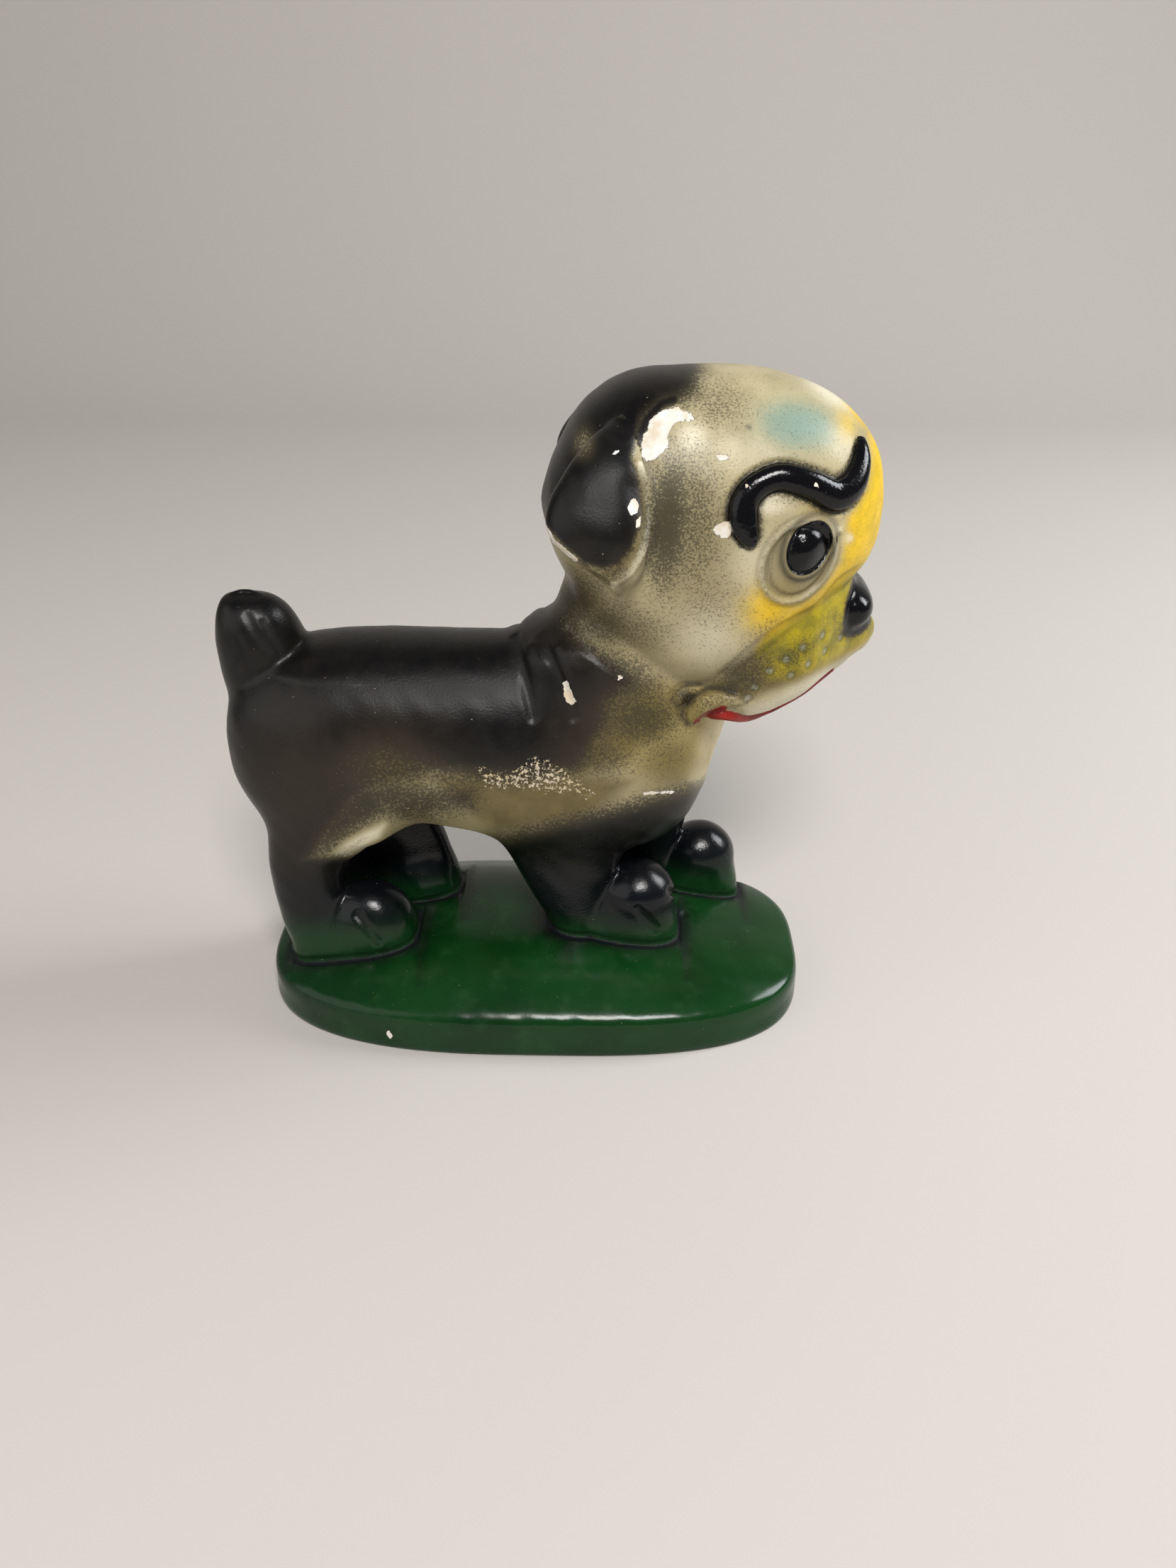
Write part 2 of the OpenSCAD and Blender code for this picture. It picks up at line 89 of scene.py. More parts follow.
class Loft:
    """A form swept along one axis: an oval section at each station. Its field is near to a distance in mm."""

    LONGEST_TIP, EDGE, SLOPE_STEP = 3.0, 0.02, 0.4      # mm

    def __init__(self, axis, t, cu, cv, hu, hv, power):
        order = np.argsort(t)
        t, cu, cv, hu, hv = (np.asarray(a, float)[order] for a in (t, cu, cv, hu, hv))
        squares = [hu ** 2, hv ** 2]
        for end, inner in ((0, 3), (-1, -4)):               # close each end to a round tip
            slope = (squares[0][inner] - squares[0][end]) / (t[inner] - t[end])
            reach = min(abs(squares[0][end] / slope), self.LONGEST_TIP) if abs(slope) > 1e-6 else 1.0
            tip = t[end] + (-reach if end == 0 else reach)
            at = 0 if end == 0 else len(t)
            t, cu, cv = np.insert(t, at, tip), np.insert(cu, at, cu[end]), np.insert(cv, at, cv[end])
            squares = [np.insert(s, at, 1e-3) for s in squares]
        self.axis, self.power = axis, power
        self.t, self.cu, self.cv, self.squares = t, cu, cv, squares
        self.u, self.v = [a for a in (0, 1, 2) if a != axis]
        hu, hv = np.sqrt(squares[0]), np.sqrt(squares[1])
        self.low, self.high = np.zeros(3), np.zeros(3)
        self.low[axis], self.high[axis] = t[0], t[-1]
        self.low[self.u], self.high[self.u] = (cu - hu).min(), (cu + hu).max()
        self.low[self.v], self.high[self.v] = (cv - hv).min(), (cv + hv).max()

    def across(self, t, pu, pv):
        """Signed distance to the section at t, within the section's own plane."""
        cu, cv = np.interp(t, self.t, self.cu), np.interp(t, self.t, self.cv)
        hu = np.sqrt(np.interp(t, self.t, self.squares[0]))
        hv = np.sqrt(np.interp(t, self.t, self.squares[1]))
        du, dv = pu - cu, pv - cv
        a, b = (du / hu) ** 2 + 1e-6, (dv / hv) ** 2 + 1e-6
        r = (a ** (self.power / 2) + b ** (self.power / 2)) ** (1 / self.power)
        rho = np.sqrt(du ** 2 + dv ** 2 + 1e-6 * hu * hv)
        return rho - rho / r

    def __call__(self, p):
        t, pu, pv = p[:, self.axis], p[:, self.u], p[:, self.v]
        inside = np.clip(t, self.t[0] + self.EDGE, self.t[-1] - self.EDGE)
        a = np.maximum(inside - self.SLOPE_STEP, self.t[0])
        b = np.minimum(inside + self.SLOPE_STEP, self.t[-1])
        slope = (self.across(b, pu, pv) - self.across(a, pu, pv)) / (b - a)
        d = self.across(inside, pu, pv) / np.sqrt(1 + slope ** 2)
        beyond = t - inside
        return np.where(beyond == 0, d, np.sqrt(np.maximum(d, 0) ** 2 + beyond ** 2))


def lengthways(rows, x0, length, centre_low, height, width, power, n=160, y=0.0):
    """A loft along X from rows of percent: station, lower edge, upper edge, width."""
    r = spline(rows, n)
    return Loft(0, x0 + r[:, 0] / 100 * length, np.full(n, y), centre_low + (r[:, 1] + r[:, 2]) / 200 * height,
                r[:, 3] / 200 * width, (r[:, 2] - r[:, 1]) / 200 * height, power)


def upright(rows, z0, height, x0, reach, width, power, n=160, y=0.0):
    """A loft along Z from rows of percent: station, back edge, front edge, width."""
    r = spline(rows, n)
    return Loft(2, z0 + r[:, 0] / 100 * height, x0 + (r[:, 1] + r[:, 2]) / 200 * reach, np.full(n, y),
                (r[:, 2] - r[:, 1]) / 200 * reach, r[:, 3] / 200 * width, power)


trunk_rows = [
    [0, 34, 56, 24], [2.5, 12, 73, 54], [8, -2, 87, 78], [18, -6, 97, 95], [32, -1, 100, 100],
    [48, -6, 100, 100], [60, -14, 100, 98], [75, -19, 99, 96], [88, -17, 88, 84], [96, -4, 66, 56], [100, 14, 40, 22]]
neck_rows = [
    [-14, 34, 42, 6], [-8, 24, 52, 30], [0, 14, 60, 54], [20, -2, 72, 84], [40, -14, 79.5, 97], [62, -18, 82, 98],
    [70, -12, 81, 96], [77, 1, 80, 92], [88, 7, 74, 84], [100, 10, 66, 70]]
head_rows = [
    [0, 56, 66, 16], [3.5, 45, 76, 44], [11.5, 31, 89.5, 72], [24.5, 15, 98, 92], [42, 3, 100, 100],
    [59, 3, 99.8, 100], [72, 15, 97, 95], [83.5, 29, 92, 80], [92, 38, 85, 60], [97.3, 45, 77, 38], [100, 54, 66, 14]]
muzzle_rows = [
    [46, 2, 10, 50], [49, -1, 16, 84], [56, -3.5, 25, 98], [66, -4, 36, 100], [78, 1, 46, 94], [88, 7, 47, 63],
    [93, 9.5, 41, 45], [97, 12, 34, 33], [100, 14, 27, 23], [102.5, 17, 23, 9]]
tail_rows = [
    [0, 7, 130, 84], [22, 1, 130, 98], [45, -1, 125, 104], [66, 0, 117, 100], [84, 6, 104, 84], [95, 14, 88, 56],
    [100, 26, 72, 20]]
ear_rows = [
    [0, 62, 80, 54, 30], [8, 42, 84, 66, 62], [22, 22, 88, 82, 84], [42, 4, 91, 94, 96],
    [58, 2, 94, 101, 94], [72, 16, 94, 104, 84], [86, 44, 90, 106, 62], [97, 60, 78, 106, 28]]
hind_rows = [
    [144, -43, 186, 100], [124, -50, 207, 118], [111, -50, 207, 122], [99, -50, 179, 118], [90, -53, 129, 108],
    [80, -57, 86, 100], [66, -57, 71, 94], [45, -51, 79, 92], [25, -37, 79, 88]]
left_hind_rows = [
    [144, -43, 186, 100], [120, -43, 214, 118], [99, -36, 214, 116], [82, -29, 214, 104], [66, -21, 229, 98],
    [49, -14, 243, 98], [29, 0, 243, 98]]
front_rows = [
    [128, -121, 107, 100], [107, -125, 100, 106], [91, -114, 93, 104], [74, -93, 86, 98], [58, -68, 71, 94],
    [41, -39, 71, 94], [27, -21, 71, 94]]
paw_rows = [
    [0, 12, 44], [7, 42, 72], [24, 76, 90], [48, 98, 100], [70, 99, 98], [87, 76, 84], [97, 42, 62], [100, 12, 44]]
brow_rows = [
    [58.5, 60.5], [56, 66], [56, 71.5], [59.5, 76], [66, 78], [74.5, 75.5], [81.5, 72], [86.5, 73.5], [89, 78.5],
    [89, 83.5]]


def flank(side):
    return side * leg_spacing / 2


def leg(rows, x, y, lean, foot_y, rise=34, n=150):
    """A leg from its rows, with a tapered crown on top that ends inside the body."""
    top, back, front, width = rows[0]
    middle, half = (back + front) / 2, (front - back) / 2
    crown = [[top + up * rise, middle - half * share, middle + half * share, width * share]
             for up, share in ((1, 0.1), (0.76, 0.4), (0.52, 0.66), (0.26, 0.87))]
    r = spline(crown + rows, n)
    down = np.maximum(1 - (r[:, 0] / top) ** 2, 0)
    return Loft(2, r[:, 0] / 100 * belly_z, x + lean * down + (r[:, 1] + r[:, 2]) / 200 * leg_width,
                y + (foot_y - y) * down, (r[:, 2] - r[:, 1]) / 200 * leg_width, r[:, 3] / 200 * leg_width, 2.1)


def hind_paw_y(side):
    return flank(side) + (3 if side < 0 else 0)


def front_paw_y(side):
    return flank(side) * 1.05 + 6.5


def paw(x, y, length, height, n=100):
    r = spline(paw_rows, n)
    return Loft(0, x + r[:, 0] / 100 * length, np.full(n, y), np.full(n, paw_sole), r[:, 2] / 200 * paw_width,
                r[:, 1] / 100 * (height - paw_sole), 2.5)


def ear(side, n=120):
    r = spline(ear_rows, n)
    middle = nape_x + 0.02 * head_length + (r[:, 1] + r[:, 2]) / 200 * ear_width
    return Loft(2, chin_z + 0.9 * head_height - r[:, 0] / 100 * ear_length, middle,
                side * r[:, 3] / 200 * head_width, (r[:, 2] - r[:, 1]) / 200 * ear_width,
                r[:, 4] / 100 * 0.26 * ear_width, 2.0)


head = lengthways(head_rows, nape_x, head_length, chin_z, head_height, head_width, 2.25)
muzzle = lengthways(muzzle_rows, nape_x, head_length, chin_z, head_height, muzzle_width, 2.6)


def side_of(form, x, z):
    """How far the side of a lengthways form stands out at (x, z)."""
    c = np.interp(x, form.t, form.cv)
    w, h = (np.sqrt(np.interp(x, form.t, s)) for s in form.squares)
    rise = np.minimum(np.abs(z - c) / h, 0.99)
    return w * (1 - rise ** form.power) ** (1 / form.power)


def laid_on(form, p, lift=0.0):
    """Percent of the head's length and height, laid on the right side of a form."""
    p = np.asarray(p, float)
    x, z = nape_x + p[..., 0] / 100 * head_length, chin_z + p[..., 1] / 100 * head_height
    return np.stack([x, -(side_of(form, x, z) + lift), z], -1)


def to_path(p, path, radii=None):
    """Distance from points to a polyline, and the radius there."""
    path = np.asarray(path, float)
    radii = np.zeros(len(path)) if radii is None else np.asarray(radii, float)
    best, reach = np.full(len(p), 1e9), np.zeros(len(p))
    for a, b, ra, rb in zip(path[:-1], path[1:], radii[:-1], radii[1:]):
        ab = b - a
        t = np.clip((p - a) @ ab / (ab @ ab), 0, 1)
        d = np.linalg.norm(p - a - t[:, None] * ab, axis=1)
        r = ra + (rb - ra) * t
        near = d - r < best - reach
        best[near], reach[near] = d[near], r[near]
    return best, reach


class Rope:
    """A bead along a path, with a radius at each of its points."""

    def __init__(self, path, radii):
        self.path, self.radii = np.asarray(path, float), np.asarray(radii, float)
        r = self.radii.max()
        self.low, self.high = self.path.min(0) - r, self.path.max(0) + r

    def __call__(self, p):
        d, r = to_path(p, self.path, self.radii)
        return d - r


class Ball:
    """An oval lump; a power above 2 makes it a bar across the figure with rounded ends."""

    def __init__(self, centre, half, power=2.0):
        self.c, self.h, self.power = np.asarray(centre, float), np.asarray(half, float), power
        self.low, self.high = self.c - self.h, self.c + self.h

    def __call__(self, p):
        q = np.abs((p - self.c) / self.h) + 1e-9
        r, n = np.hypot(q[:, 0], q[:, 2]), self.power
        k = (r ** n + q[:, 1] ** n) ** (1 / n)
        along = (r / k) ** (n - 1) * np.hypot(q[:, 0] / self.h[0], q[:, 2] / self.h[2]) / r
        across = (q[:, 1] / k) ** (n - 1) / self.h[1]
        return (k - 1) / np.hypot(along, across)


class Base:
    """The oval base: an upright wall with a softened foot, a domed top and rounded edges."""

    FLATNESS = 2.7                              # how flat the dome stays before it falls off to the rim
    FOOT, FOOT_SINK = 2.5, 0.5                  # height and depth of the foot, in mm
    RIM_ROUNDING, FOOT_ROUNDING = 3.2, 0.8
    low = np.array([-base_length / 2, -base_width / 2, 0.0])
    high = np.array([base_length / 2, base_width / 2, crown_height])

    def __call__(self, p):
        x, y, z = p.T
        power = 2.8 + 0.2 * np.tanh(x / 12)     # squarer in front than behind
        s = ((np.abs(x) / (base_length / 2)) ** power + (np.abs(y) / (base_width / 2)) ** power + 1e-9) ** (1 / power)
        rho = np.hypot(x, y) + 1e-6
        sink = np.clip((self.FOOT - z) / self.FOOT, 0, 1)
        wall = rho - rho / s + self.FOOT_SINK * sink ** 2
        rise = crown_height - rim_height
        dome = rim_height + rise * (1 - np.minimum(s, 1.05) ** self.FLATNESS)
        slope = rise * self.FLATNESS * np.minimum(s, 1) ** (self.FLATNESS - 1) / (rho / s)
        top = (z - dome) / np.sqrt(1 + slope ** 2)
        return hard(hard(wall, top, self.RIM_ROUNDING), -z, self.FOOT_ROUNDING)


def soft(a, b, k):
    """Smooth union."""
    h = np.maximum(k - np.abs(a - b), 0) / k
    return np.minimum(a, b) - h ** 3 * k / 6


def hard(a, b, k):
    """Smooth intersection."""
    return -soft(-a, -b, k)


hind_ahead, front_ahead = 0.62 * stride, 1.15 * stride      # how far the left paws stand ahead of the right ones
# name, station, place across, length, height, and the round toes' middle, height and half sizes
PAWS = [
    ("right_hind_paw", hind_leg_x - 4.5, hind_paw_y(-1), 1.25, 0.63, -38.6, 20.2, (10, 8.6, 9.9)),
    ("left_hind_paw", hind_leg_x - 4.5 + hind_ahead, hind_paw_y(1), 1.25, 0.63,
     -38.6 + hind_ahead, 20.2, (10, 8.6, 9.9)),
    ("right_front_paw", front_leg_x + 2, front_paw_y(-1), 1, 0.73, 25.6, 28.2, (9.0, 8.3, 7.4)),
    ("left_front_paw", front_leg_x + 2 + front_ahead, front_paw_y(1), 1, 0.66,
     25.6 + front_ahead, 24.6, (9.0, 8.3, 7.6))]

# name, form, how softly it melts into what is there
FORMS = [
    ("trunk", lengthways(trunk_rows, rump_x, trunk_length, belly_z, trunk_depth, trunk_width, 2.2), 1),
    ("neck", upright(neck_rows, neck_low, neck_high - neck_low, nape_x, neck_reach, neck_width, 2.1), 5),
    ("tail",
     upright(tail_rows, back_height - 0.62 * tail_height, tail_height, rump_x, tail_width, tail_width, 2.1), 3),
    ("right_hind_leg", leg(hind_rows, hind_leg_x, flank(-1), 0, hind_paw_y(-1)), 6),
    ("left_hind_leg", leg(left_hind_rows, hind_leg_x, flank(1), 0, hind_paw_y(1)), 6),
    ("right_front_leg", leg(front_rows, front_leg_x, flank(-1) * 0.9 + 4, 0, front_paw_y(-1), 54), 8),
    ("left_front_leg",
     leg(front_rows, front_leg_x + stride, flank(1) * 0.9 + 4, stride * 0.3, front_paw_y(1), 54), 8),
    *[(name, paw(x, y, paw_length * length, height * belly_z), 3) for name, x, y, length, height, *_ in PAWS],
    *[(name, Ball([toes_x, y, toes_z], half), 3) for name, x, y, length, height, toes_x, toes_z, half in PAWS],
    ("head", head, 3),
    ("muzzle", muzzle, 1.6),
    ("right_ear", ear(-1), 1.2),
    ("left_ear", ear(1), 1.2),
    ("nose", Ball([face_x - 0.27 * nose_width, 0, chin_z + 0.3 * head_height],
                  np.array([0.3, 0.56, 0.265]) * nose_width, 2.7), 1.0),
    ("base", Base(), 0.5),
]
FAR = 60.0


def distances(p, margin=9.0):
    """Each form's own distance at each point, a far value where the form is well away."""
    out = np.full((len(FORMS), len(p)), FAR)
    for row, (name, form, melt) in zip(out, FORMS):
        near = np.all((p > form.low - margin) & (p < form.high + margin), axis=1)
        if near.any():
            row[near] = form(p[near])
            if name.endswith(("leg", "paw")):       # feet end inside the base, short of its underside
                row[near] = np.maximum(row[near], rim_height / 2 - p[near, 2])
    return out


def melted(d):
    """The forms' smooth union, in their order."""
    total = d[0]
    for row, (name, form, melt) in zip(d[1:], FORMS[1:]):
        total = soft(total, row, melt)
    return total


def plain(p):
    """The melted forms without their carved detail."""
    return melted(distances(p))


# ---- the photograph's view, which places the detail
EYE_POINT = np.array([18.5, -245.7, 200.5])
FOCAL, MID, VIEW_HEIGHT = 1720.0, (829.5, 1106.0), 2212.0       # pixels
TIP, TURN = math.radians(90 - 30.69), math.radians(1.2)
RIGHT_WAY = np.array([math.cos(TURN), math.sin(TURN), 0])
AHEAD = np.array([-math.sin(TURN) * math.sin(TIP), math.cos(TURN) * math.sin(TIP), -math.cos(TIP)])
UP_WAY = np.array([-math.sin(TURN) * math.cos(TIP), math.cos(TURN) * math.cos(TIP), math.sin(TIP)])


def near_side(p):
    """Points with those of the left half mirrored to the right."""
    return p * np.array([1, 0, 1]) - np.abs(p) * np.array([0, 1, 0])


def seen(p):
    """Where points of the near side, or the far side's mirror image, lie in the 1659 x 2212 view."""
    d = near_side(p) - EYE_POINT
    depth = d @ AHEAD
    return np.stack([MID[0] + FOCAL * (d @ RIGHT_WAY) / depth, MID[1] - FOCAL * (d @ UP_WAY) / depth], -1)


def spot(places):
    """The points of the plain surface that are seen at these places (x, y of one after the other)."""
    uv = np.asarray(places, float).reshape(-1, 2)
    way = AHEAD + ((uv[:, :1] - MID[0]) * RIGHT_WAY - (uv[:, 1:] - MID[1]) * UP_WAY) / FOCAL
    way /= np.linalg.norm(way, axis=1, keepdims=True)
    t = np.full(len(uv), 130.0)                 # the march starts this far from the eye and ends at 420 mm
    for k in range(90):
        t += np.clip(plain(EYE_POINT + way * t[:, None]), -2, 12) * 0.8
        t = np.minimum(t, 420)
    return EYE_POINT + way * t[:, None]


def lobe(places, radii, sink):
    """A rope's path through places seen in the view, sunk into the surface, and its radii."""
    path = spline(spot(places), 16)
    path[:, 1] += sink
    return path, np.interp(np.linspace(0, 1, 16), np.linspace(0, 1, len(radii)), radii)


lip_rows = [[49, -60], [52.5, -89], [57, -88], [62, -72], [68, -56], [76, -48], [85, -42], [92, -28], [95.5, 0]]
lip_line = spline(lip_rows + [[a, -b] for a, b in lip_rows[-2::-1]], 60)
lip_x = nape_x + lip_line[:, 0] / 100 * head_length
lip_w, lip_h = (np.sqrt(np.interp(lip_x, muzzle.t, s)) for s in muzzle.squares)
lip_path = np.stack([lip_x, lip_line[:, 1] / 100 * lip_w, np.interp(lip_x, muzzle.t, muzzle.cv)
                     - lip_h * (1 - np.abs(lip_line[:, 1] / 100) ** muzzle.power) ** (1 / muzzle.power)], -1)
lip_radii = head_height * (0.017 + 0.008 * np.linspace(-1, 1, 60) ** 2)

curl, curl_r = lobe([1052, 990, 1024, 986, 996, 991, 977, 1006], [1.2, 2.3, 3.0, 2.5], 0.6)
roll, roll_r = lobe([990, 972, 970, 976, 960, 988], [0.8, 1.7, 1.8], 0.7)
flip = np.array([1, -1, 1])
for side, turn in (("right", 1), ("left", flip)):
    FORMS.append((side + "_jowl", Rope(curl * turn, curl_r), 0.7))
    FORMS.append((side + "_jowl", Rope(roll * turn, roll_r), 0.5))
FORMS.append(("lips", Rope(lip_path, lip_radii), 0.8))
NAMES = [f[0] for f in FORMS]
FEET = [k for k, n in enumerate(NAMES) if n.endswith(("leg", "paw"))]
GROUND = NAMES.index("base")


def bump(q):
    """A smooth hill: 1 at 0, 0 from 1 on."""
    q = np.clip(q, 0, 1)
    return (1 - q * q) ** 2


def ring(k, at, wide):
    """A smooth ridge: 1 where k equals at."""
    return np.exp(-((k - at) / wide) ** 2)


EYE, PUPIL = (72.0, 54.2), (74.4, 58.6)         # percent of the head's length and height
TILT, eye_half = math.radians(20), eye_height / 2


def oval(p, place, width, height):
    """How far a point of the face is from an oval's middle, 1 at its edge."""
    x = p[:, 0] - nape_x - place[0] / 100 * head_length
    z = p[:, 2] - chin_z - place[1] / 100 * head_height
    u = x * math.cos(TILT) - z * math.sin(TILT)
    v = x * math.sin(TILT) + z * math.cos(TILT)
    return np.hypot(u / width, v / height)


brow_path = laid_on(head, spline(brow_rows, 40), 0.3)
brow_radii = brow_width / 2 * np.interp(np.linspace(0, 1, 40), [0, 0.04, 0.12, 0.22, 0.36, 0.55, 0.72, 0.82, 0.92, 1],
                                        [0.25, 0.7, 1.0, 0.95, 0.85, 0.98, 1.12, 1.0, 0.72, 0.3])
WHISKERS = laid_on(muzzle, [[83, 28], [76.5, 26], [71.5, 22.5], [67, 19], [84.5, 22], [79, 20], [73.5, 17],
                            [63, 13.5], [89.9, 24], [61.4, 9.8]])

# carved lines and raised edges: places along the line, half width and depth in mm (a negative depth stands out)
LINES = [
    # neck folds
    ([724, 896, 733, 930, 743, 972, 752, 1012], 1.0, 0.9),
    ([764, 897, 778, 935, 793, 970, 810, 1012], 1.1, 1.0),
    ([748, 915, 757, 945, 767, 975, 776, 1008], 2.4, -0.5),
    ([789, 912, 800, 935, 815, 968, 828, 1000], 2.2, -0.5),
    ([803, 888, 822, 908, 850, 934, 882, 958], 1.0, 1.3),
    # tail
    ([348, 868, 360, 893, 378, 925], 0.8, 0.6), ([372, 878, 385, 902, 400, 928], 0.8, 0.5),
    ([334, 900, 344, 925, 350, 945], 0.7, 0.4),
    # toes
    ([505, 1292, 516, 1308, 532, 1330], 0.9, 1.6), ([900, 1284, 911, 1297, 926, 1311], 0.9, 1.5),
    ([946, 1257, 955, 1272, 966, 1290], 0.8, 1.0), ([988, 1228, 990, 1247], 0.8, 1.2),
    # ear rim
    ([903, 655, 913, 688, 917, 735, 909, 776, 891, 806, 866, 822], 0.9, -1.1),
    ([866, 822, 838, 806, 808, 785, 782, 757], 0.8, -0.35),
    # mouth corner
    ([1034, 976, 1018, 971, 1000, 971, 980, 981, 963, 998, 962, 1012], 0.8, 0.75),
    ([988, 966, 968, 967, 953, 976, 949, 988], 0.7, 0.5),
    # the hollow inside the ear rim, the muzzle's upper edge, the creases by the mouth corner
    ([897, 690, 899, 735, 888, 772, 866, 792, 840, 786], 2.2, 0.45),
    ([1206, 806, 1183, 822, 1156, 855, 1113, 879, 1079, 902, 1046, 928, 1020, 952], 0.9, 0.5),
    ([1000, 966, 972, 966, 952, 976, 949, 992], 0.6, 0.5),
    ([1030, 968, 990, 975, 966, 996, 962, 1012], 0.6, 0.7),
    # a bead on the cheek, and shallow hollows over the hind leg and on the haunch
    ([1176, 751, 1186, 751], 0.8, -0.7), ([497, 1206, 540, 1190, 575, 1160], 3.0, 0.4),
    ([430, 960, 405, 1010, 398, 1060, 410, 1120], 5.0, 0.35)]
CARVED = [(spline(spot(places), 12), wide, deep) for places, wide, deep in LINES]
dice = np.random.default_rng(7)
# the casting's gentle unevenness: direction, start and size in mm of each wave
WAVES = [(dice.normal(size=3) * k, dice.uniform(0, 6.3), a) for k, a in
         [(0.1, 0.10), (0.16, 0.07), (0.2, 0.06), (0.27, 0.04), (0.45, 0.02), (0.6, 0.015)]]


def on_the_face(q):
    """Whether points of the near side are on the front half of the head, where the brow and eye are."""
    return (q[:, 0] > 36) & (q[:, 1] < -8) & (q[:, 2] > 78)


def face_marks(q):
    """Brow, eye and pupil coordinates of points on the near side of the face: 1 at each one's edge."""
    d, r = to_path(q, brow_path, brow_radii)
    return d / r, oval(q, EYE, eye_half * 0.82, eye_half * 0.96), oval(q, PUPIL, eye_half * 0.56, eye_half * 0.68)


def relief(p):
    """The modelled detail that stands out of, or is carved in, the surface at each point, in mm."""
    q = near_side(p)
    out = np.zeros(len(p))
    for way, start, size in WAVES:
        out += size * np.sin(p @ way + start)
    out -= 0.3                                  # so that no wave stands out of the CAD box
    out *= np.clip((p[:, 2] - 1) / 4, 0, 1)     # the underside stays flat
    at_face = np.flatnonzero(on_the_face(q))
    if len(at_face):
        f = q[at_face]
        k, e, i = face_marks(f)
        add = 2.1 * np.sqrt(np.clip(1 - k ** 2, 0, 1)) - 0.5 * ring(k, 1.22, 0.17)
        add += 0.9 * bump(e / 1.05) + 0.7 * ring(e, 1, 0.075) - 0.4 * ring(e, 0.83, 0.07)
        add += 0.6 * ring(i, 1, 0.12) + 1.3 * bump(i / 0.95) - 0.25 * ring(i, 0.84, 0.05)
        for w in WHISKERS:
            add -= 0.7 * ring(np.linalg.norm(f - w, axis=1), 0, 1.2)
        out[at_face] += add
    for path, wide, deep in CARVED:
        near = np.flatnonzero(np.all((q > path.min(0) - wide * 3) & (q < path.max(0) + wide * 3), axis=1))
        if len(near):
            d, _ = to_path(q[near], path)
            out[near] -= deep * ring(d, 0, wide)
    return out


GROOVE_DEPTH, GROOVE_WIDTH = 0.5, 0.8           # the groove where the feet meet the base, in mm


def field(p):
    """Negative inside the plaster, positive outside, near to a distance in mm."""
    d = distances(p)
    feet = np.maximum(d[FEET].min(0), 0) ** 2 + np.maximum(d[GROUND], 0) ** 2
    return melted(d) - relief(p) + GROOVE_DEPTH * np.exp(-feet / GROOVE_WIDTH ** 2)


def gradient(p, h=0.12):
    g = np.empty_like(p)
    for a in range(3):
        e = np.zeros(3)
        e[a] = h
        g[:, a] = (field(p + e) - field(p - e)) / (2 * h)
    return g


# ---- the surface as a mesh
def surface(low, high, h, block=6, chunk=200000):
    """Quads on the zero surface of the field (surface nets), found block by block."""
    n = (np.ceil((high - low) / (h * block)).astype(int) + 1) * block + 1
    axes = [low[a] + h * np.arange(n[a]) for a in range(3)]
    coarse = [ax[::block] for ax in axes]
    g = np.stack(np.meshgrid(*coarse, indexing="ij"), -1)
    c = field(g.reshape(-1, 3)).reshape(g.shape[:3])
    near = np.abs(c) < h * block * 0.95 + 1.4           # 1.4 mm for the relief
    value = np.where(np.repeat(np.repeat(np.repeat(c, block, 0), block, 1), block, 2) < 0, -1.0, 1.0)
    value = value[:n[0], :n[1], :n[2]].astype(np.float32)
    todo = np.zeros(value.shape, bool)
    for i, j, k in np.argwhere(near):
        lo = [max(0, v * block - block) for v in (i, j, k)]
        hi = [v * block + block + 1 for v in (i, j, k)]
        todo[lo[0]:hi[0], lo[1]:hi[1], lo[2]:hi[2]] = True
    idx = np.argwhere(todo)
    points = low + idx * h
    out = np.empty(len(points), np.float32)
    for a in range(0, len(points), chunk):
        out[a:a + chunk] = field(points[a:a + chunk])
    value[todo] = out
    inside = value < 0
    corner = [(i, j, k) for i in (0, 1) for j in (0, 1) for k in (0, 1)]

    def part(a, c):
        return a[c[0]:a.shape[0] - 1 + c[0], c[1]:a.shape[1] - 1 + c[1], c[2]:a.shape[2] - 1 + c[2]]

    count = sum(part(inside, c).astype(np.int8) for c in corner)
    cells = np.argwhere((count > 0) & (count < 8))
    ident = np.full(count.shape, -1, np.int32)
    ident[tuple(cells.T)] = np.arange(len(cells))
    v = np.stack([value[tuple((cells + c).T)] for c in corner], 1)
    total, hits = np.zeros((len(cells), 3)), np.zeros(len(cells))
    for a in range(8):
        for b in range(a + 1, 8):
            ca, cb = np.array(corner[a]), np.array(corner[b])
            if np.abs(ca - cb).sum() == 1:
                cross = (v[:, a] < 0) != (v[:, b] < 0)
                t = v[cross, a] / (v[cross, a] - v[cross, b])
                total[cross] += ca + t[:, None] * (cb - ca)
                hits[cross] += 1
    verts = low + (cells + total / hits[:, None]) * h
    quads = []
    for axis in range(3):
        u, w = [a for a in range(3) if a != axis]
        one = np.roll(inside, -1, axis) != inside
        sl = [slice(1, -1)] * 3
        sl[axis] = slice(0, -1)
        mask = np.zeros_like(one)
        mask[tuple(sl)] = one[tuple(sl)]
        edge = np.argwhere(mask)
        eu, ew = np.zeros(3, int), np.zeros(3, int)
        eu[u], ew[w] = 1, 1
        quad = np.stack([ident[tuple((edge - eu - ew).T)], ident[tuple((edge - ew).T)], ident[tuple(edge.T)],
                         ident[tuple((edge - eu).T)]], 1)
        turn = inside[tuple(edge.T)] == (axis == 1)
        quad[turn] = quad[turn][:, ::-1]
        quads.append(quad)
    quads = np.concatenate(quads)
    quads = quads[(quads >= 0).all(1)]
    return verts, quads


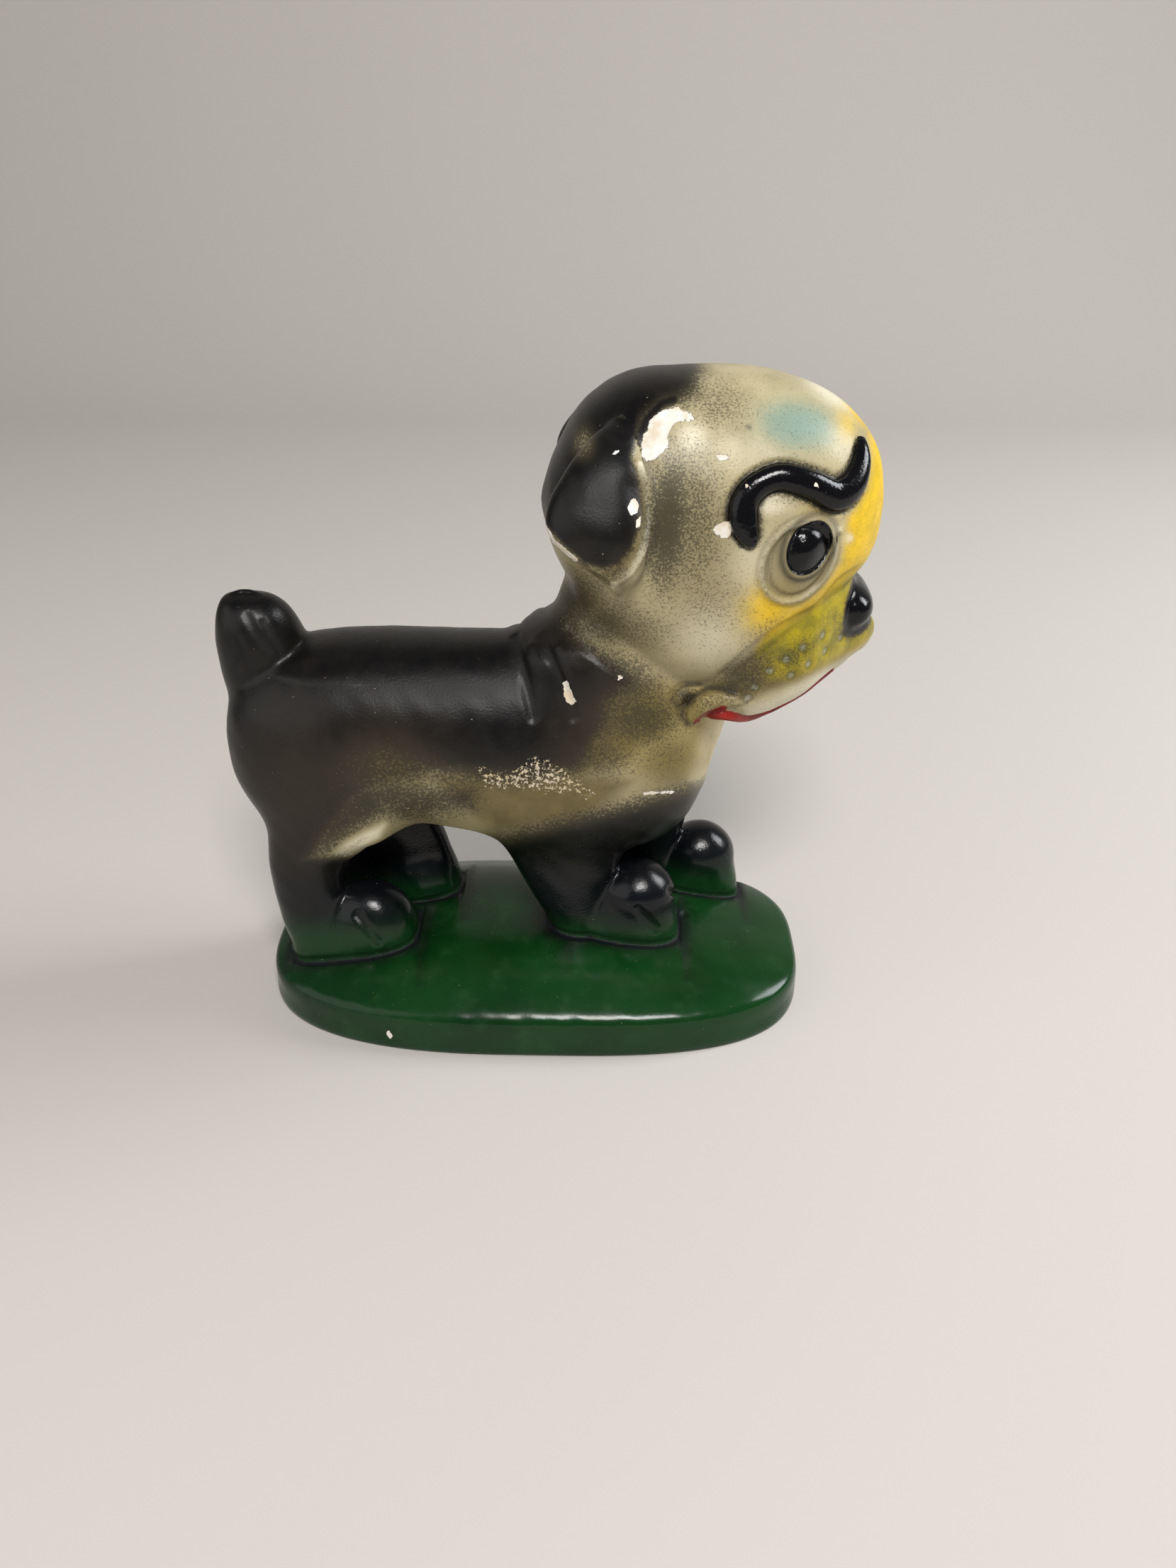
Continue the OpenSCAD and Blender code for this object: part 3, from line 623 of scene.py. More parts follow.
verts, quads = surface(np.array([-71.0, -36.0, -1.2]), np.array([78.0, 36.0, 151.5]), STEP)
for k in range(3):
    # Newton steps onto the zero surface; the last one reuses the slope of the second.
    if k < 2:
        g = gradient(verts)
        size = np.maximum((g ** 2).sum(1), 0.15)
    move = (field(verts) / size)[:, None] * g
    length = np.linalg.norm(move, axis=1, keepdims=True)
    verts -= move * np.minimum(1, 0.5 * STEP / np.maximum(length, 1e-9))
verts[:, 2] = np.maximum(verts[:, 2], 0)
EASED = 10                                      # mm at each end
for sign, wall in ((-1, cad_box[0][0] / MM), (1, cad_box[1][0] / MM)):
    # The last few millimetres are eased in, so that the plaster ends where the CAD model does.
    start, reach = wall - sign * EASED, (sign * verts[:, 0]).max()
    beyond = sign * (verts[:, 0] - start)
    squeeze = min(1, (sign * wall - sign * start) / (reach - sign * start))
    verts[:, 0] = np.where(beyond > 0, start + sign * beyond * squeeze, verts[:, 0])
normal = gradient(verts, 0.2)
normal /= np.linalg.norm(normal, axis=1, keepdims=True) + 1e-12

# ---- paint: how much of each colour was sprayed where
uv = seen(verts)
q = near_side(verts)
own = distances(verts)
form_of = own.argmin(0)
is_on = {name: np.isin(form_of, [k for k, n in enumerate(NAMES) if n == name]) for name in set(NAMES)}
brow_k, eye_e, iris_i = face_marks(q)
on_face = on_the_face(q)
brow_k, eye_e, iris_i = (np.where(on_face, k, 9.0) for k in (brow_k, eye_e, iris_i))


def nearest(points):
    """Squared distance of the view's points to a line through places (x, y of one after the other), in pixels."""
    c = np.asarray(points, float).reshape(-1, 2)
    best = np.full(len(uv), 1e9)
    for a, b in zip(c[:-1], c[1:]):
        ab = b - a
        t = np.clip((uv - a) @ ab / (ab @ ab), 0, 1)
        best = np.minimum(best, ((uv - a - t[:, None] * ab) ** 2).sum(1))
    return best


def zone(corners, blur):
    """An area of the view inside a polygon, its edge blurred by this many pixels to each side."""
    c = np.asarray(corners, float).reshape(-1, 2)
    odd = np.zeros(len(uv), bool)
    for a, b in zip(c, np.roll(c, -1, 0)):
        if a[1] != b[1]:
            x = a[0] + (uv[:, 1] - a[1]) / (b[1] - a[1]) * (b[0] - a[0])
            odd ^= ((uv[:, 1] > a[1]) != (uv[:, 1] > b[1])) & (uv[:, 0] < x)
    t = np.clip(0.5 + np.sqrt(nearest([*c, c[0]])) * np.where(odd, 1, -1) / (2 * blur), 0, 1)
    return t * t * (3 - 2 * t)


def blob(x, y, rx, ry, tilt=0.0):
    """A sprayed spot of the view, with soft edges."""
    c, s = math.cos(math.radians(tilt)), math.sin(math.radians(tilt))
    dx, dy = uv[:, 0] - x, uv[:, 1] - y
    return np.exp(-((dx * c + dy * s) / rx) ** 2 - ((dy * c - dx * s) / ry) ** 2)


def stroke(points, wide):
    """A soft line in the view."""
    return np.exp(-nearest(points) / wide ** 2)


def most(*layers):
    return np.maximum.reduce(layers)


def blobs(*rows):
    """The strongest of several spots: the strength of each, then its place, radii and tilt."""
    return most(*[strength * blob(*place) for strength, *place in rows])


def marks(shape, *rows):
    """The strongest of several zones or strokes: the strength of each, its blur or width, then its points."""
    return most(*[strength * shape(points, soft_edge) for strength, soft_edge, points in rows])


def fading(d, start, reach):
    """1 up to a distance, fading away beyond it."""
    return np.exp(-np.clip(d - start, 0, 9) / reach)


right = verts[:, 1] < 0
legs, ground, nose_d = own[FEET].min(0), own[GROUND], own[NAMES.index("nose")]
on_ear, on_base = is_on["right_ear"] | is_on["left_ear"], is_on["base"]
body = ~(is_on["head"] | is_on["muzzle"] | on_ear)
ear_rim = [903, 655, 912, 690, 915, 737, 907, 778, 889, 808, 866, 826]

# black
back = zone([250, 780, 450, 820, 760, 820, 800, 878, 848, 926, 888, 960, 862, 992, 846, 1040, 815, 1088, 750, 1104,
        690, 1108, 620, 1112, 560, 1124, 505, 1152, 462, 1195, 430, 1240, 470, 1275, 640, 1275, 640, 1400, 330, 1400,
        250, 1100], 42)
# the black thinned on the thigh and belly to show brown: partly brown paint, partly painted sheen
back -= 0.34 * blob(548, 1082, 58, 55) + 0.14 * blob(470, 1110, 60, 70) + 0.2 * blob(630, 1090, 60, 25)
back = most(back, marks(zone,
    (0.66, 40, [400, 1080, 560, 1090, 690, 1100, 680, 1150, 600, 1170, 540, 1165, 420, 1260]),
    (0.72, 30, [400, 1080, 540, 1100, 560, 1150, 470, 1200, 430, 1260])))
patch = zone([474, 1204, 490, 1189, 516, 1175, 542, 1164, 534, 1182, 508, 1197, 486, 1209], 10)
back -= 0.95 * patch
front = zone([1080, 1092, 1000, 1098, 950, 1112, 880, 1132, 800, 1152, 740, 1168, 690, 1180, 690, 1400, 1150, 1400,
        1150, 1150], 42)
crown = zone([640, 440, 990, 440, 994, 515, 986, 552, 966, 570, 940, 578, 918, 598, 906, 640, 886, 700, 760, 740,
        640, 740], 46)
ear_black = zone([700, 540, 905, 590, 893, 645, 903, 680, 906, 712, 903, 745, 893, 775, 876, 796, 850, 805, 822, 796,
        790, 768, 762, 738, 700, 700], 13)
skull = zone([640, 440, 905, 560, 896, 640, 870, 720, 766, 736, 700, 760, 640, 740], 10)
low_leg = zone([200, 1130, 1200, 1130, 1200, 1500, 200, 1500], 25)
shank = zone([200, 1208, 1200, 1200, 1200, 1500, 200, 1500], 20)
inner = np.abs(verts[:, 1]) < 9
ink = np.where(on_ear, ear_black, crown)
ink = np.where(is_on["head"] & (uv[:, 0] < 905), np.maximum(ink, skull), ink)
ink = np.where(body, most(back, front, (legs < 2.5) * inner * low_leg, (legs < 2.5) * shank), ink)
ink = np.where(is_on["tail"] | on_base, 1, ink)
ink = np.where(is_on["neck"] & (np.abs(verts[:, 1]) < 12) & (verts[:, 0] > 20), ink * 0.5, ink)
ink = np.maximum(ink, np.where(on_face, 0.9 * fading(brow_k, 1.1, 0.38), 0))
ink = np.where(is_on["muzzle"] | is_on["head"], np.maximum(ink, 0.95 * fading(nose_d, 0.9, 1.1)), ink)
# the black thinned along the ear's rim, under its painted highlight
ink = ink * (1 - 0.8 * on_ear * stroke(ear_rim, 4))
behind_ear = 0.9 * stroke([893, 655, 900, 622, 913, 590, 934, 568, 950, 563], 13)
ink = np.where(is_on["head"], np.maximum(ink, behind_ear), ink)
# the black thinned high on the ear's front, a faint painted highlight
ink = ink - 0.4 * blob(823, 625, 22, 32) * ~body

# fine dark spray
speck = most(
    blobs((0.95, 942, 735, 40, 118, 4), (0.62, 968, 730, 75, 150), (0.52, 880, 880, 105, 52, 12),
        (0.8, 872, 955, 90, 46, 25), (0.4, 1000, 850, 90, 80), (0.5, 1010, 570, 70, 60),
        (0.66, 1050, 955, 66, 36, -35), (0.5, 1120, 925, 60, 26, -35), (0.55, 1000, 990, 50, 28),
        (0.75, 968, 984, 24, 20), (0.72, 905, 1015, 85, 52), (0.6, 850, 1070, 80, 40),
        (0.42, 1075, 890, 60, 20, -35), (0.42, 1120, 700, 60, 22), (0.4, 1180, 880, 40, 26),
        (0.8, 805, 850, 60, 60), (0.7, 850, 880, 60, 40, 20)),
    0.4 * zone([1080, 1003, 1130, 976, 1180, 948, 1210, 930, 1180, 960, 1090, 1010], 12),
    0.6 * on_ear * zone([890, 780, 885, 815, 860, 830, 800, 800, 850, 800], 14),
    0.4 * body * blob(930, 1060, 70, 60), 0.2 * (is_on["head"] | is_on["neck"] | is_on["muzzle"]))
# olive and brown tones; on the black, partly brown paint and partly painted sheen
olive = most(
    marks(zone,
        (0.9, 36, [770, 1060, 800, 1000, 850, 955, 890, 955, 935, 965, 965, 1000, 950, 1040, 890, 1075, 830, 1100,
        770, 1110]),
        (0.85, 26, [600, 1090, 760, 1080, 900, 1100, 820, 1165, 700, 1180, 640, 1140]),
        (0.9, 12, [1216, 796, 1150, 850, 1090, 892, 1046, 930, 990, 969, 1046, 990, 1120, 964, 1190, 928, 1245, 892,
        1245, 800])),
    blobs((0.5, 600, 1130, 60, 24), (0.6, 800, 850, 60, 60), (0.95, 545, 1070, 85, 62), (0.8, 420, 1120, 90, 120),
        (0.45, 860, 900, 70, 50), (0.3, 980, 720, 50, 110), (0.5, 1040, 965, 60, 32, -30)),
    0.5 * (eye_e < 1.05), 0.78 * body * blob(945, 1075, 62, 58),
    0.7 * on_ear * zone([895, 650, 925, 680, 925, 760, 880, 835, 800, 800, 850, 800, 895, 760], 14))
olive = olive * ~on_base
# yellow on the front of the face and the muzzle, and a breath of it on the breast
lemon = most(
    zone([1182, 545, 1204, 590, 1224, 606, 1230, 640, 1224, 690, 1210, 712, 1196, 732, 1192, 762, 1188, 792,
        1170, 818, 1148, 840, 1118, 858, 1098, 872, 1080, 890, 1068, 915, 1066, 945, 1080, 962, 1112, 958, 1160, 940,
        1205, 916, 1240, 890, 1290, 860, 1290, 545], 17),
    blobs((0.8, 1092, 856, 60, 46, -35), (0.5, 1196, 596, 26, 40), (0.4, 1170, 718, 50, 20)))
lemon = np.where(is_on["muzzle"], lemon * np.clip((uv[:, 0] - 1015) / 120, 0, 1), lemon)
lemon = lemon * (1 - 0.6 * blob(1199, 759, 8, 9))
lemon = np.where(eye_e < 1.08, 0.45 * lemon, lemon) * ~on_ear
breast = 0.34 * zone([900, 960, 1000, 940, 1060, 1020, 1030, 1120, 900, 1100, 850, 1070], 35)
lemon = np.where(body, breast, lemon) * ~on_base
teal = 0.72 * blob(1126, 600, 86, 50, 10) * is_on["head"] * (brow_k > 1)
# pale cream, partly pale and rubbed paint, partly painted highlight: the lit upper edge of the forehead, the bright
# raised rim round the eye and the ear's lit rim
pale = most(
    blobs((1.1, 1180, 548, 64, 22, 35), (0.7, 1199, 759, 8, 9), (0.4, 1060, 790, 40, 60), (0.7, 1080, 712, 40, 18),
        (0.5, 1000, 900, 60, 50), (0.8, 976, 616, 22, 22)),
    marks(zone,
        (0.75, 12, [1050, 1000, 1080, 990, 1130, 963, 1180, 935, 1232, 893, 1260, 890, 1180, 1000, 1050, 1040]),
        (0.6, 15, [1000, 1000, 1060, 1010, 1020, 1080, 985, 1120, 965, 1100])),
    0.9 * patch * body, 0.6 * ring(eye_e, 1, 0.06), on_ear * stroke(ear_rim, 5))
curl_red = stroke([984, 1020, 1000, 1009, 1020, 1001], 7) * (own[NAMES.index("right_jowl")] < 0.6)
red = np.maximum(np.clip(1.15 - own[NAMES.index("lips")] / 0.35, 0, 1) * (uv[:, 0] < 1176), curl_red)

# green on the base, thinner round the feet and under the belly so the black shows: partly black overspray, partly
# painted shade; and a duller finish where they meet
leaf = np.where(on_base, 1 - 0.85 * np.exp(-np.maximum(legs, 0) / 3.2) - 0.25 * blob(760, 1290, 140, 50), 0.0)
leaf = np.where((legs < 1) & ~on_base, 0.8 * np.clip((30 - verts[:, 2]) / 11, 0, 1) ** 1.1, leaf)
leaf = np.clip(leaf, 0, 1)
contact = np.exp(-(np.maximum(legs, 0) ** 2 + np.maximum(ground, 0) ** 2) / 1.5 ** 2)
contact *= (ground < 2) & (legs < 2)
contact = most(contact, on_base * (0.6 * blob(1045, 1290, 45, 20) + 0.35 * blob(640, 1260, 60, 16)),
        body * ~on_base * 0.6 * blob(640, 975, 150, 26), on_ear * 0.6 * blob(850, 690, 34, 60))
# the lower legs and paws: glossier, with a blue painted sheen in their black
lower_leg_gloss_and_blue_sheen = np.clip((44 - verts[:, 2]) / 12, 0, 1) * (legs < 1.5)

# brow, pupil and nose in glossy black, then painted shade in the creases and hollows, a painted shadow beside the
# ear's rim, and a few dark lines and dots
line = most(0.5 + (1.04 - brow_k) * 1.4, 0.5 + (0.93 - iris_i) * 2.5, 0.5 + (0.75 - nose_d) * 0.8).clip(0, 1)
crease_shade_and_dark_lines = most(
    marks(stroke,
        (0.85, 3, [1055, 601, 1057, 603]), (0.7, 3, [1181, 749, 1184, 752]),
        (0.45, 5, [912, 652, 923, 692, 926, 740, 918, 786, 900, 818, 872, 838]),
        (0.95, 4.5, [1034, 976, 1018, 971, 1000, 971, 980, 981, 963, 998, 962, 1012, 970, 1022]),
        (0.8, 4, [988, 966, 968, 967, 953, 976, 949, 988, 956, 998])),
    0.75 * ring(iris_i, 1.1, 0.15), 0.45 * ring(eye_e, 0.83, 0.05), 0.4 * ring(eye_e, 1.13, 0.06),
    0.85 * blob(968, 985, 13, 12) * body)
# painted shade along the carved grooves
for path, wide, deep in CARVED:
    if deep > 0.4 and wide < 1.5:
        near = np.flatnonzero(np.all((q > path.min(0) - 4) & (q < path.max(0) + 4), axis=1))
        d, _ = to_path(q[near], path)
        crease_shade_and_dark_lines[near] = np.maximum(crease_shade_and_dark_lines[near], 0.55 * ring(d, 0, wide * 1.1))

# chips down to the plaster on the side that is seen, and areas rubbed into flecks
bare = right * np.maximum(
    marks(zone,
        (1.0, 9, [903, 640, 906, 618, 918, 592, 935, 578, 958, 574, 975, 583, 980, 592, 955, 596, 942, 610, 944, 628,
        930, 645, 912, 650]),
        (1.0, 2.0, [885, 718, 888, 707, 896, 703, 901, 712, 899, 724, 890, 727]),
        (1.0, 2.0, [897, 745, 898, 733, 904, 728, 904, 740]),
        (1.0, 2.0, [794, 962, 800, 960, 806, 975, 813, 990, 808, 995, 799, 990]),
        (0.8, 4.0, [1004, 748, 1012, 738, 1030, 735, 1033, 748, 1026, 760, 1012, 757]),
        (0.9, 3.0, [1010, 642, 1028, 641, 1030, 649, 1014, 650]),
        (0.9, 2.0, [872, 953, 880, 953, 880, 958, 872, 958])),
    marks(stroke,
        (0.75, 3.0, [908, 1119, 950, 1117]), (1.1, 3.2, [763, 735, 783, 765, 812, 790]),
        (0.8, 3.0, [866, 640, 872, 636]), (0.9, 4.0, [1008, 1482, 1016, 1484]),
        (0.8, 3.5, [547, 1457, 552, 1463]), (0.9, 2.8, [1151, 684, 1153, 686]),
        (0.85, 2.5, [1053, 684, 1055, 686]), (0.8, 2.6, [1229, 908, 1233, 904])))
rubbed_side = most(
    zone([655, 1072, 720, 1080, 750, 1058, 790, 1070, 845, 1105, 845, 1135, 800, 1130, 740, 1125, 680, 1120], 18),
    blobs((0.75, 680, 1130, 70, 28), (0.5, 830, 690, 20, 80), (0.45, 620, 985, 60, 20), (0.5, 300, 900, 20, 60),
        (0.4, 870, 700, 25, 70)), 1.0 * patch * body)
scuff = np.where(right, rubbed_side, 0.55 * blob(700, 1080, 90, 40))
scuff = np.maximum(scuff, on_base * ring(verts[:, 2], 0.6, 0.9) * 0.7)
COATS = dict(dull=contact, lower_leg_gloss_and_blue_sheen=lower_leg_gloss_and_blue_sheen, ink=ink, speck=speck, olive=olive, lemon=lemon, teal=teal, pale=pale, red=red,
             leaf=leaf, line=line, crease_shade_and_dark_lines=crease_shade_and_dark_lines, bare=bare, scuff=scuff)


# ---- materials
class Nodes:
    """A short way to write a node tree."""

    def __init__(self, material):
        material.use_nodes = True
        self.tree = material.node_tree
        self.tree.nodes.clear()

    def add(self, kind, inputs=(), **settings):
        n = self.tree.nodes.new("ShaderNode" + kind)
        for key, value in settings.items():
            setattr(n, key, value)
        for key, value in dict(inputs).items():
            if isinstance(value, bpy.types.NodeSocket):
                self.tree.links.new(value, n.inputs[key])
            else:
                n.inputs[key].default_value = value
        return n

    def math(self, how, a, b=0.0):
        return self.add("Math", {0: a, 1: b}, operation=how).outputs[0]

    def plus(self, a, b):
        return self.math("ADD", a, b)

    def times(self, a, b):
        return self.math("MULTIPLY", a, b)

    def most(self, a, b):
        return self.math("MAXIMUM", a, b)

    def swing(self, noise, size):
        """A noise made to swing round 0."""
        return self.times(self.math("SUBTRACT", noise, 0.5), size)

    def ramp(self, value, low, high):
        """0 below low, 1 above high, smooth between."""
        return self.add("MapRange", {"Value": value, "From Min": low, "From Max": high},
                        interpolation_type="SMOOTHSTEP").outputs["Result"]

    def mix(self, how_much, a, b):
        return self.add("Mix", {0: how_much, 6: a, 7: b}, data_type="RGBA").outputs[2]

    def shades(self, noise, low, high, a, b):
        """Two shades of one paint, given as a screen shows them, in clouds."""
        return self.mix(self.ramp(noise, low, high), tint(*a), tint(*b))

    def blend(self, how_much, a, b):
        return self.add("Mix", {0: how_much, 2: a, 3: b}, data_type="FLOAT").outputs[0]

    def noise(self, where, size, detail, rough=0.5):
        """Noise with spots of about this size, in mm."""
        return self.add("TexNoise", {"Vector": where, "Scale": 1 / (size * MM), "Detail": detail,
                                     "Roughness": rough}).outputs["Fac"]

    def holes(self, where):
        """How far each point is from the nearest whisker hole of its own side, in mm."""
        part = self.add("SeparateXYZ", {0: where}).outputs
        far = self.times(self.math("ABSOLUTE", part[1]), -1.0)
        folded = self.add("CombineXYZ", {0: part[0], 1: far, 2: part[2]}).outputs[0]
        best = None
        for w in WHISKERS:
            gap = self.add("VectorMath", {0: folded, 1: tuple(w * MM)}, operation="DISTANCE").outputs["Value"]
            best = gap if best is None else self.math("MINIMUM", best, gap)
        return self.times(best, 1 / MM)

    def coat(self, name):
        return self.add("Attribute", attribute_name=name).outputs["Fac"]


def tint(r, g, b):
    """A colour given as a screen shows it, 0 to 255."""
    return tuple(((c / 255 + 0.055) / 1.055) ** 2.4 if c > 10 else c / 255 / 12.92 for c in (r, g, b)) + (1.0,)


def painted(name):
    """The figure's paint: every coat over the one before, then chips, gloss and the fine bumps."""
    m = bpy.data.materials.new(name)
    n = Nodes(m)
    coat = {k: n.coat(k) for k in COATS}
    where = n.add("TexCoord").outputs["Object"]
    fine, grain = n.noise(where, 0.55, 2.0, 0.6), n.noise(where, 0.5, 1.0)
    cloud, broad = n.noise(where, 5.0, 4.0, 0.6), n.noise(where, 19.0, 3.0)
    flake, fleck = n.noise(where, 1.5, 5.0, 0.68), n.noise(where, 0.85, 5.0, 0.7)

    def sprayed(paint, speckle=0.7, smooth=0.5):
        """Paint from an airbrush: solid where thick, separate dots where it thins out."""
        dots = n.ramp(n.plus(paint, n.swing(fine, 1.5 * speckle)), 0.34, 0.66)
        dots = n.times(dots, n.ramp(paint, 0.02, 0.16))
        return n.blend(smooth, dots, n.ramp(paint, 0.05, 0.95))

    # cream ground with its shading
    ground = n.shades(broad, 0.35, 0.65, (188, 176, 138), (166, 154, 118))
    ground = n.mix(n.times(n.ramp(cloud, 0.4, 0.7), 0.3), ground, tint(146, 134, 100))
    # pale cream: pale paint, and painted highlight on the lit edges
    colour = n.mix(n.ramp(coat["pale"], 0.0, 0.9), ground, tint(232, 224, 196))
    colour = n.mix(n.ramp(coat["olive"], 0.0, 1.0), colour, n.shades(cloud, 0.3, 0.7, (92, 80, 48), (112, 98, 58)))
    colour = n.mix(sprayed(coat["teal"], 0.3), colour, tint(130, 154, 140))
    yellow = n.shades(cloud, 0.3, 0.7, (240, 198, 12), (212, 176, 22))
    dark_yellow = n.shades(cloud, 0.35, 0.7, (166, 150, 30), (120, 112, 34))
    yellow = n.mix(n.ramp(coat["olive"], 0.1, 1.0), yellow, dark_yellow)
    colour = n.mix(sprayed(coat["lemon"], 0.6, 0.8), colour, yellow)
    if name.startswith(("yellow", "cream")):
        hole = n.holes(where)
        # a dark ring of painted shade round each whisker hole, and a light grey dot inside it
        colour = n.mix(n.times(n.ramp(hole, 1.5, 1.1), 0.55), colour, tint(84, 80, 44))
        colour = n.mix(n.times(n.ramp(hole, 1.15, 0.7), 0.85), colour, tint(160, 160, 140))
    pepper = n.ramp(n.plus(n.noise(where, 0.42, 3.0, 0.7), n.times(coat["speck"], 0.42)), 0.64, 0.8)
    pepper = n.plus(n.times(pepper, 0.55), n.times(n.ramp(coat["speck"], 0.0, 1.0), 0.36))
    colour = n.mix(pepper, colour, tint(50, 45, 33))
    lip = n.shades(cloud, 0.35, 0.65, (150, 34, 26), (116, 25, 21))
    colour = n.mix(n.ramp(coat["red"], 0.25, 0.75), colour, lip)
    # black and green
    green = n.shades(broad, 0.3, 0.7, (6, 44, 14), (13, 55, 20))
    green = n.mix(n.times(n.ramp(cloud, 0.5, 0.75), 0.2), green, tint(44, 80, 46))
    leaf = sprayed(coat["leaf"], 0.45, 0.7)
    black = n.shades(cloud, 0.35, 0.75, (6, 5, 5), (20, 17, 14))
    # brown in the black where the olive lies: partly brown paint, partly painted sheen
    black = n.mix(n.times(coat["olive"], 0.6), black, tint(56, 46, 36))
    # a blue painted sheen in the black of the lower legs and paws
    black = n.mix(n.times(coat["lower_leg_gloss_and_blue_sheen"], 0.6), black, tint(10, 16, 22))
    ink = sprayed(coat["ink"], 0.75)
    colour = n.mix(ink, colour, n.mix(leaf, black, green))
    gloss_line = n.ramp(coat["line"], 0.42, 0.58)
    # painted shade in creases and hollows, with a few dark lines and dots
    colour = n.mix(n.times(coat["crease_shade_and_dark_lines"], 0.85), colour, tint(30, 29, 28))
    colour = n.mix(gloss_line, colour, tint(9, 9, 12))
    # bare plaster: flecks, chips and pinholes in the black
    rubbed = n.ramp(n.plus(fleck, n.times(coat["scuff"], 0.5)), 1.0, 1.035)
    chip = n.ramp(n.plus(coat["bare"], n.swing(flake, 1.6)), 0.42, 0.54)
    chip = n.times(chip, n.ramp(coat["bare"], 0.05, 0.2))
    dots = n.times(n.ramp(grain, 0.79, 0.83), n.ramp(coat["ink"], 0.5, 1.0))
    chip = n.most(chip, n.most(n.times(dots, 0.6), n.times(rubbed, 0.9)))
    plaster = n.mix(n.ramp(coat["bare"], 0.1, 0.4), tint(206, 188, 150), tint(234, 231, 226))
    colour = n.mix(chip, colour, n.mix(n.ramp(cloud, 0.35, 0.65), plaster, tint(214, 200, 176)))
    # roughness of each coat
    shine = n.blend(ink, 0.38, 0.34)
    shine = n.blend(n.times(n.most(leaf, coat["lower_leg_gloss_and_blue_sheen"]), ink), shine, 0.2)
    shine = n.blend(gloss_line, shine, 0.13)
    shine = n.plus(shine, n.swing(cloud, 0.16))
    shine = n.blend(n.times(n.most(coat["crease_shade_and_dark_lines"], coat["dull"]), 0.8), shine, 0.75)
    shine = n.blend(chip, shine, 0.88)
    # bumps, in mm
    height = n.plus(n.times(n.noise(where, 3.2, 3.0), 0.035), n.times(fine, n.blend(leaf, 0.055, 0.012)))
    height = n.math("SUBTRACT", height, n.times(chip, 0.2))
    bumps = n.add("Bump", {"Strength": 0.9, "Distance": MM, "Height": height}).outputs["Normal"]
    shader = n.add("BsdfPrincipled", {"Base Color": colour, "Roughness": shine, "Normal": bumps, "IOR": 1.5,
                                      "Specular IOR Level": 0.32})
    n.add("OutputMaterial", {"Surface": shader.outputs[0]})
    return m


# ---- one closed piece for each part of the figure
SLOTS = dict(base="green_gloss", paw="green_gloss", trunk="black_coat", tail="black_coat", ear="black_coat",
             leg="black_coat", neck="cream_satin", head="cream_satin", jowl="cream_satin", eye="cream_satin",
             muzzle="yellow_satin", lips="red_lip", nose="black_gloss", brow="black_gloss", pupil="black_gloss")
PAINT = {slot: painted(slot + "_paint") for slot in sorted(set(SLOTS.values()))}
SKIN, LIP_SKIN = 1.2, 0.8                       # thickness of the closed pieces, in mm
centre = verts[quads].mean(1)
near_q = near_side(centre)
label = np.array(NAMES, object)[distances(centre).argmin(0)]
k, e, i = face_marks(near_q)
sides = np.where(centre[:, 1] < 0, "right_", "left_")
for mark, name in ((e < 1.14, "eye"), (i < 0.93, "pupil"), (k < 1.06, "brow")):
    hit = on_the_face(near_q) & mark
    label[hit] = [s + name for s in sides[hit]]


def place(name, data):
    o = bpy.data.objects.new(name, data)
    bpy.context.scene.collection.objects.link(o)
    return o


def piece(node):
    """The shown surface of one node, closed by an inner skin under it."""
    mine = quads[label == node]
    used, local = np.unique(mine, return_inverse=True)
    outer = local.reshape(-1, 4)
    count = len(used)
    edges = np.concatenate([outer[:, [a, (a + 1) % 4]] for a in range(4)])
    keys = edges[:, 0].astype(np.int64) * count + edges[:, 1]
    back_keys = edges[:, 1].astype(np.int64) * count + edges[:, 0]
    rim = edges[~np.isin(keys, back_keys)]
    depth = LIP_SKIN if node == "lips" else SKIN
    points = np.concatenate([verts[used], verts[used] - normal[used] * depth]) * MM
    faces = np.concatenate([outer, outer[:, ::-1] + count,
                            np.stack([rim[:, 1], rim[:, 0], rim[:, 0] + count, rim[:, 1] + count], 1)])
    m = bpy.data.meshes.new(node + "_surface")
    m.from_pydata(points.tolist(), [], faces.tolist())
    m.polygons.foreach_set("use_smooth", np.ones(len(faces), bool))
    m.normals_split_custom_set_from_vertices(np.concatenate([normal[used], -normal[used]]).tolist())
    for coat, amount in COATS.items():
        a = m.attributes.new(coat, "FLOAT", "POINT")
        a.data.foreach_set("value", np.tile(amount[used], 2).astype(np.float32))
    o = place(node + "_surface", m)
    slot = SLOTS[node.split("_")[-1]]
    m.materials.append(PAINT[slot])
    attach(o, "root")
    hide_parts(node)


for node in sorted(set(label)):
    piece(node)

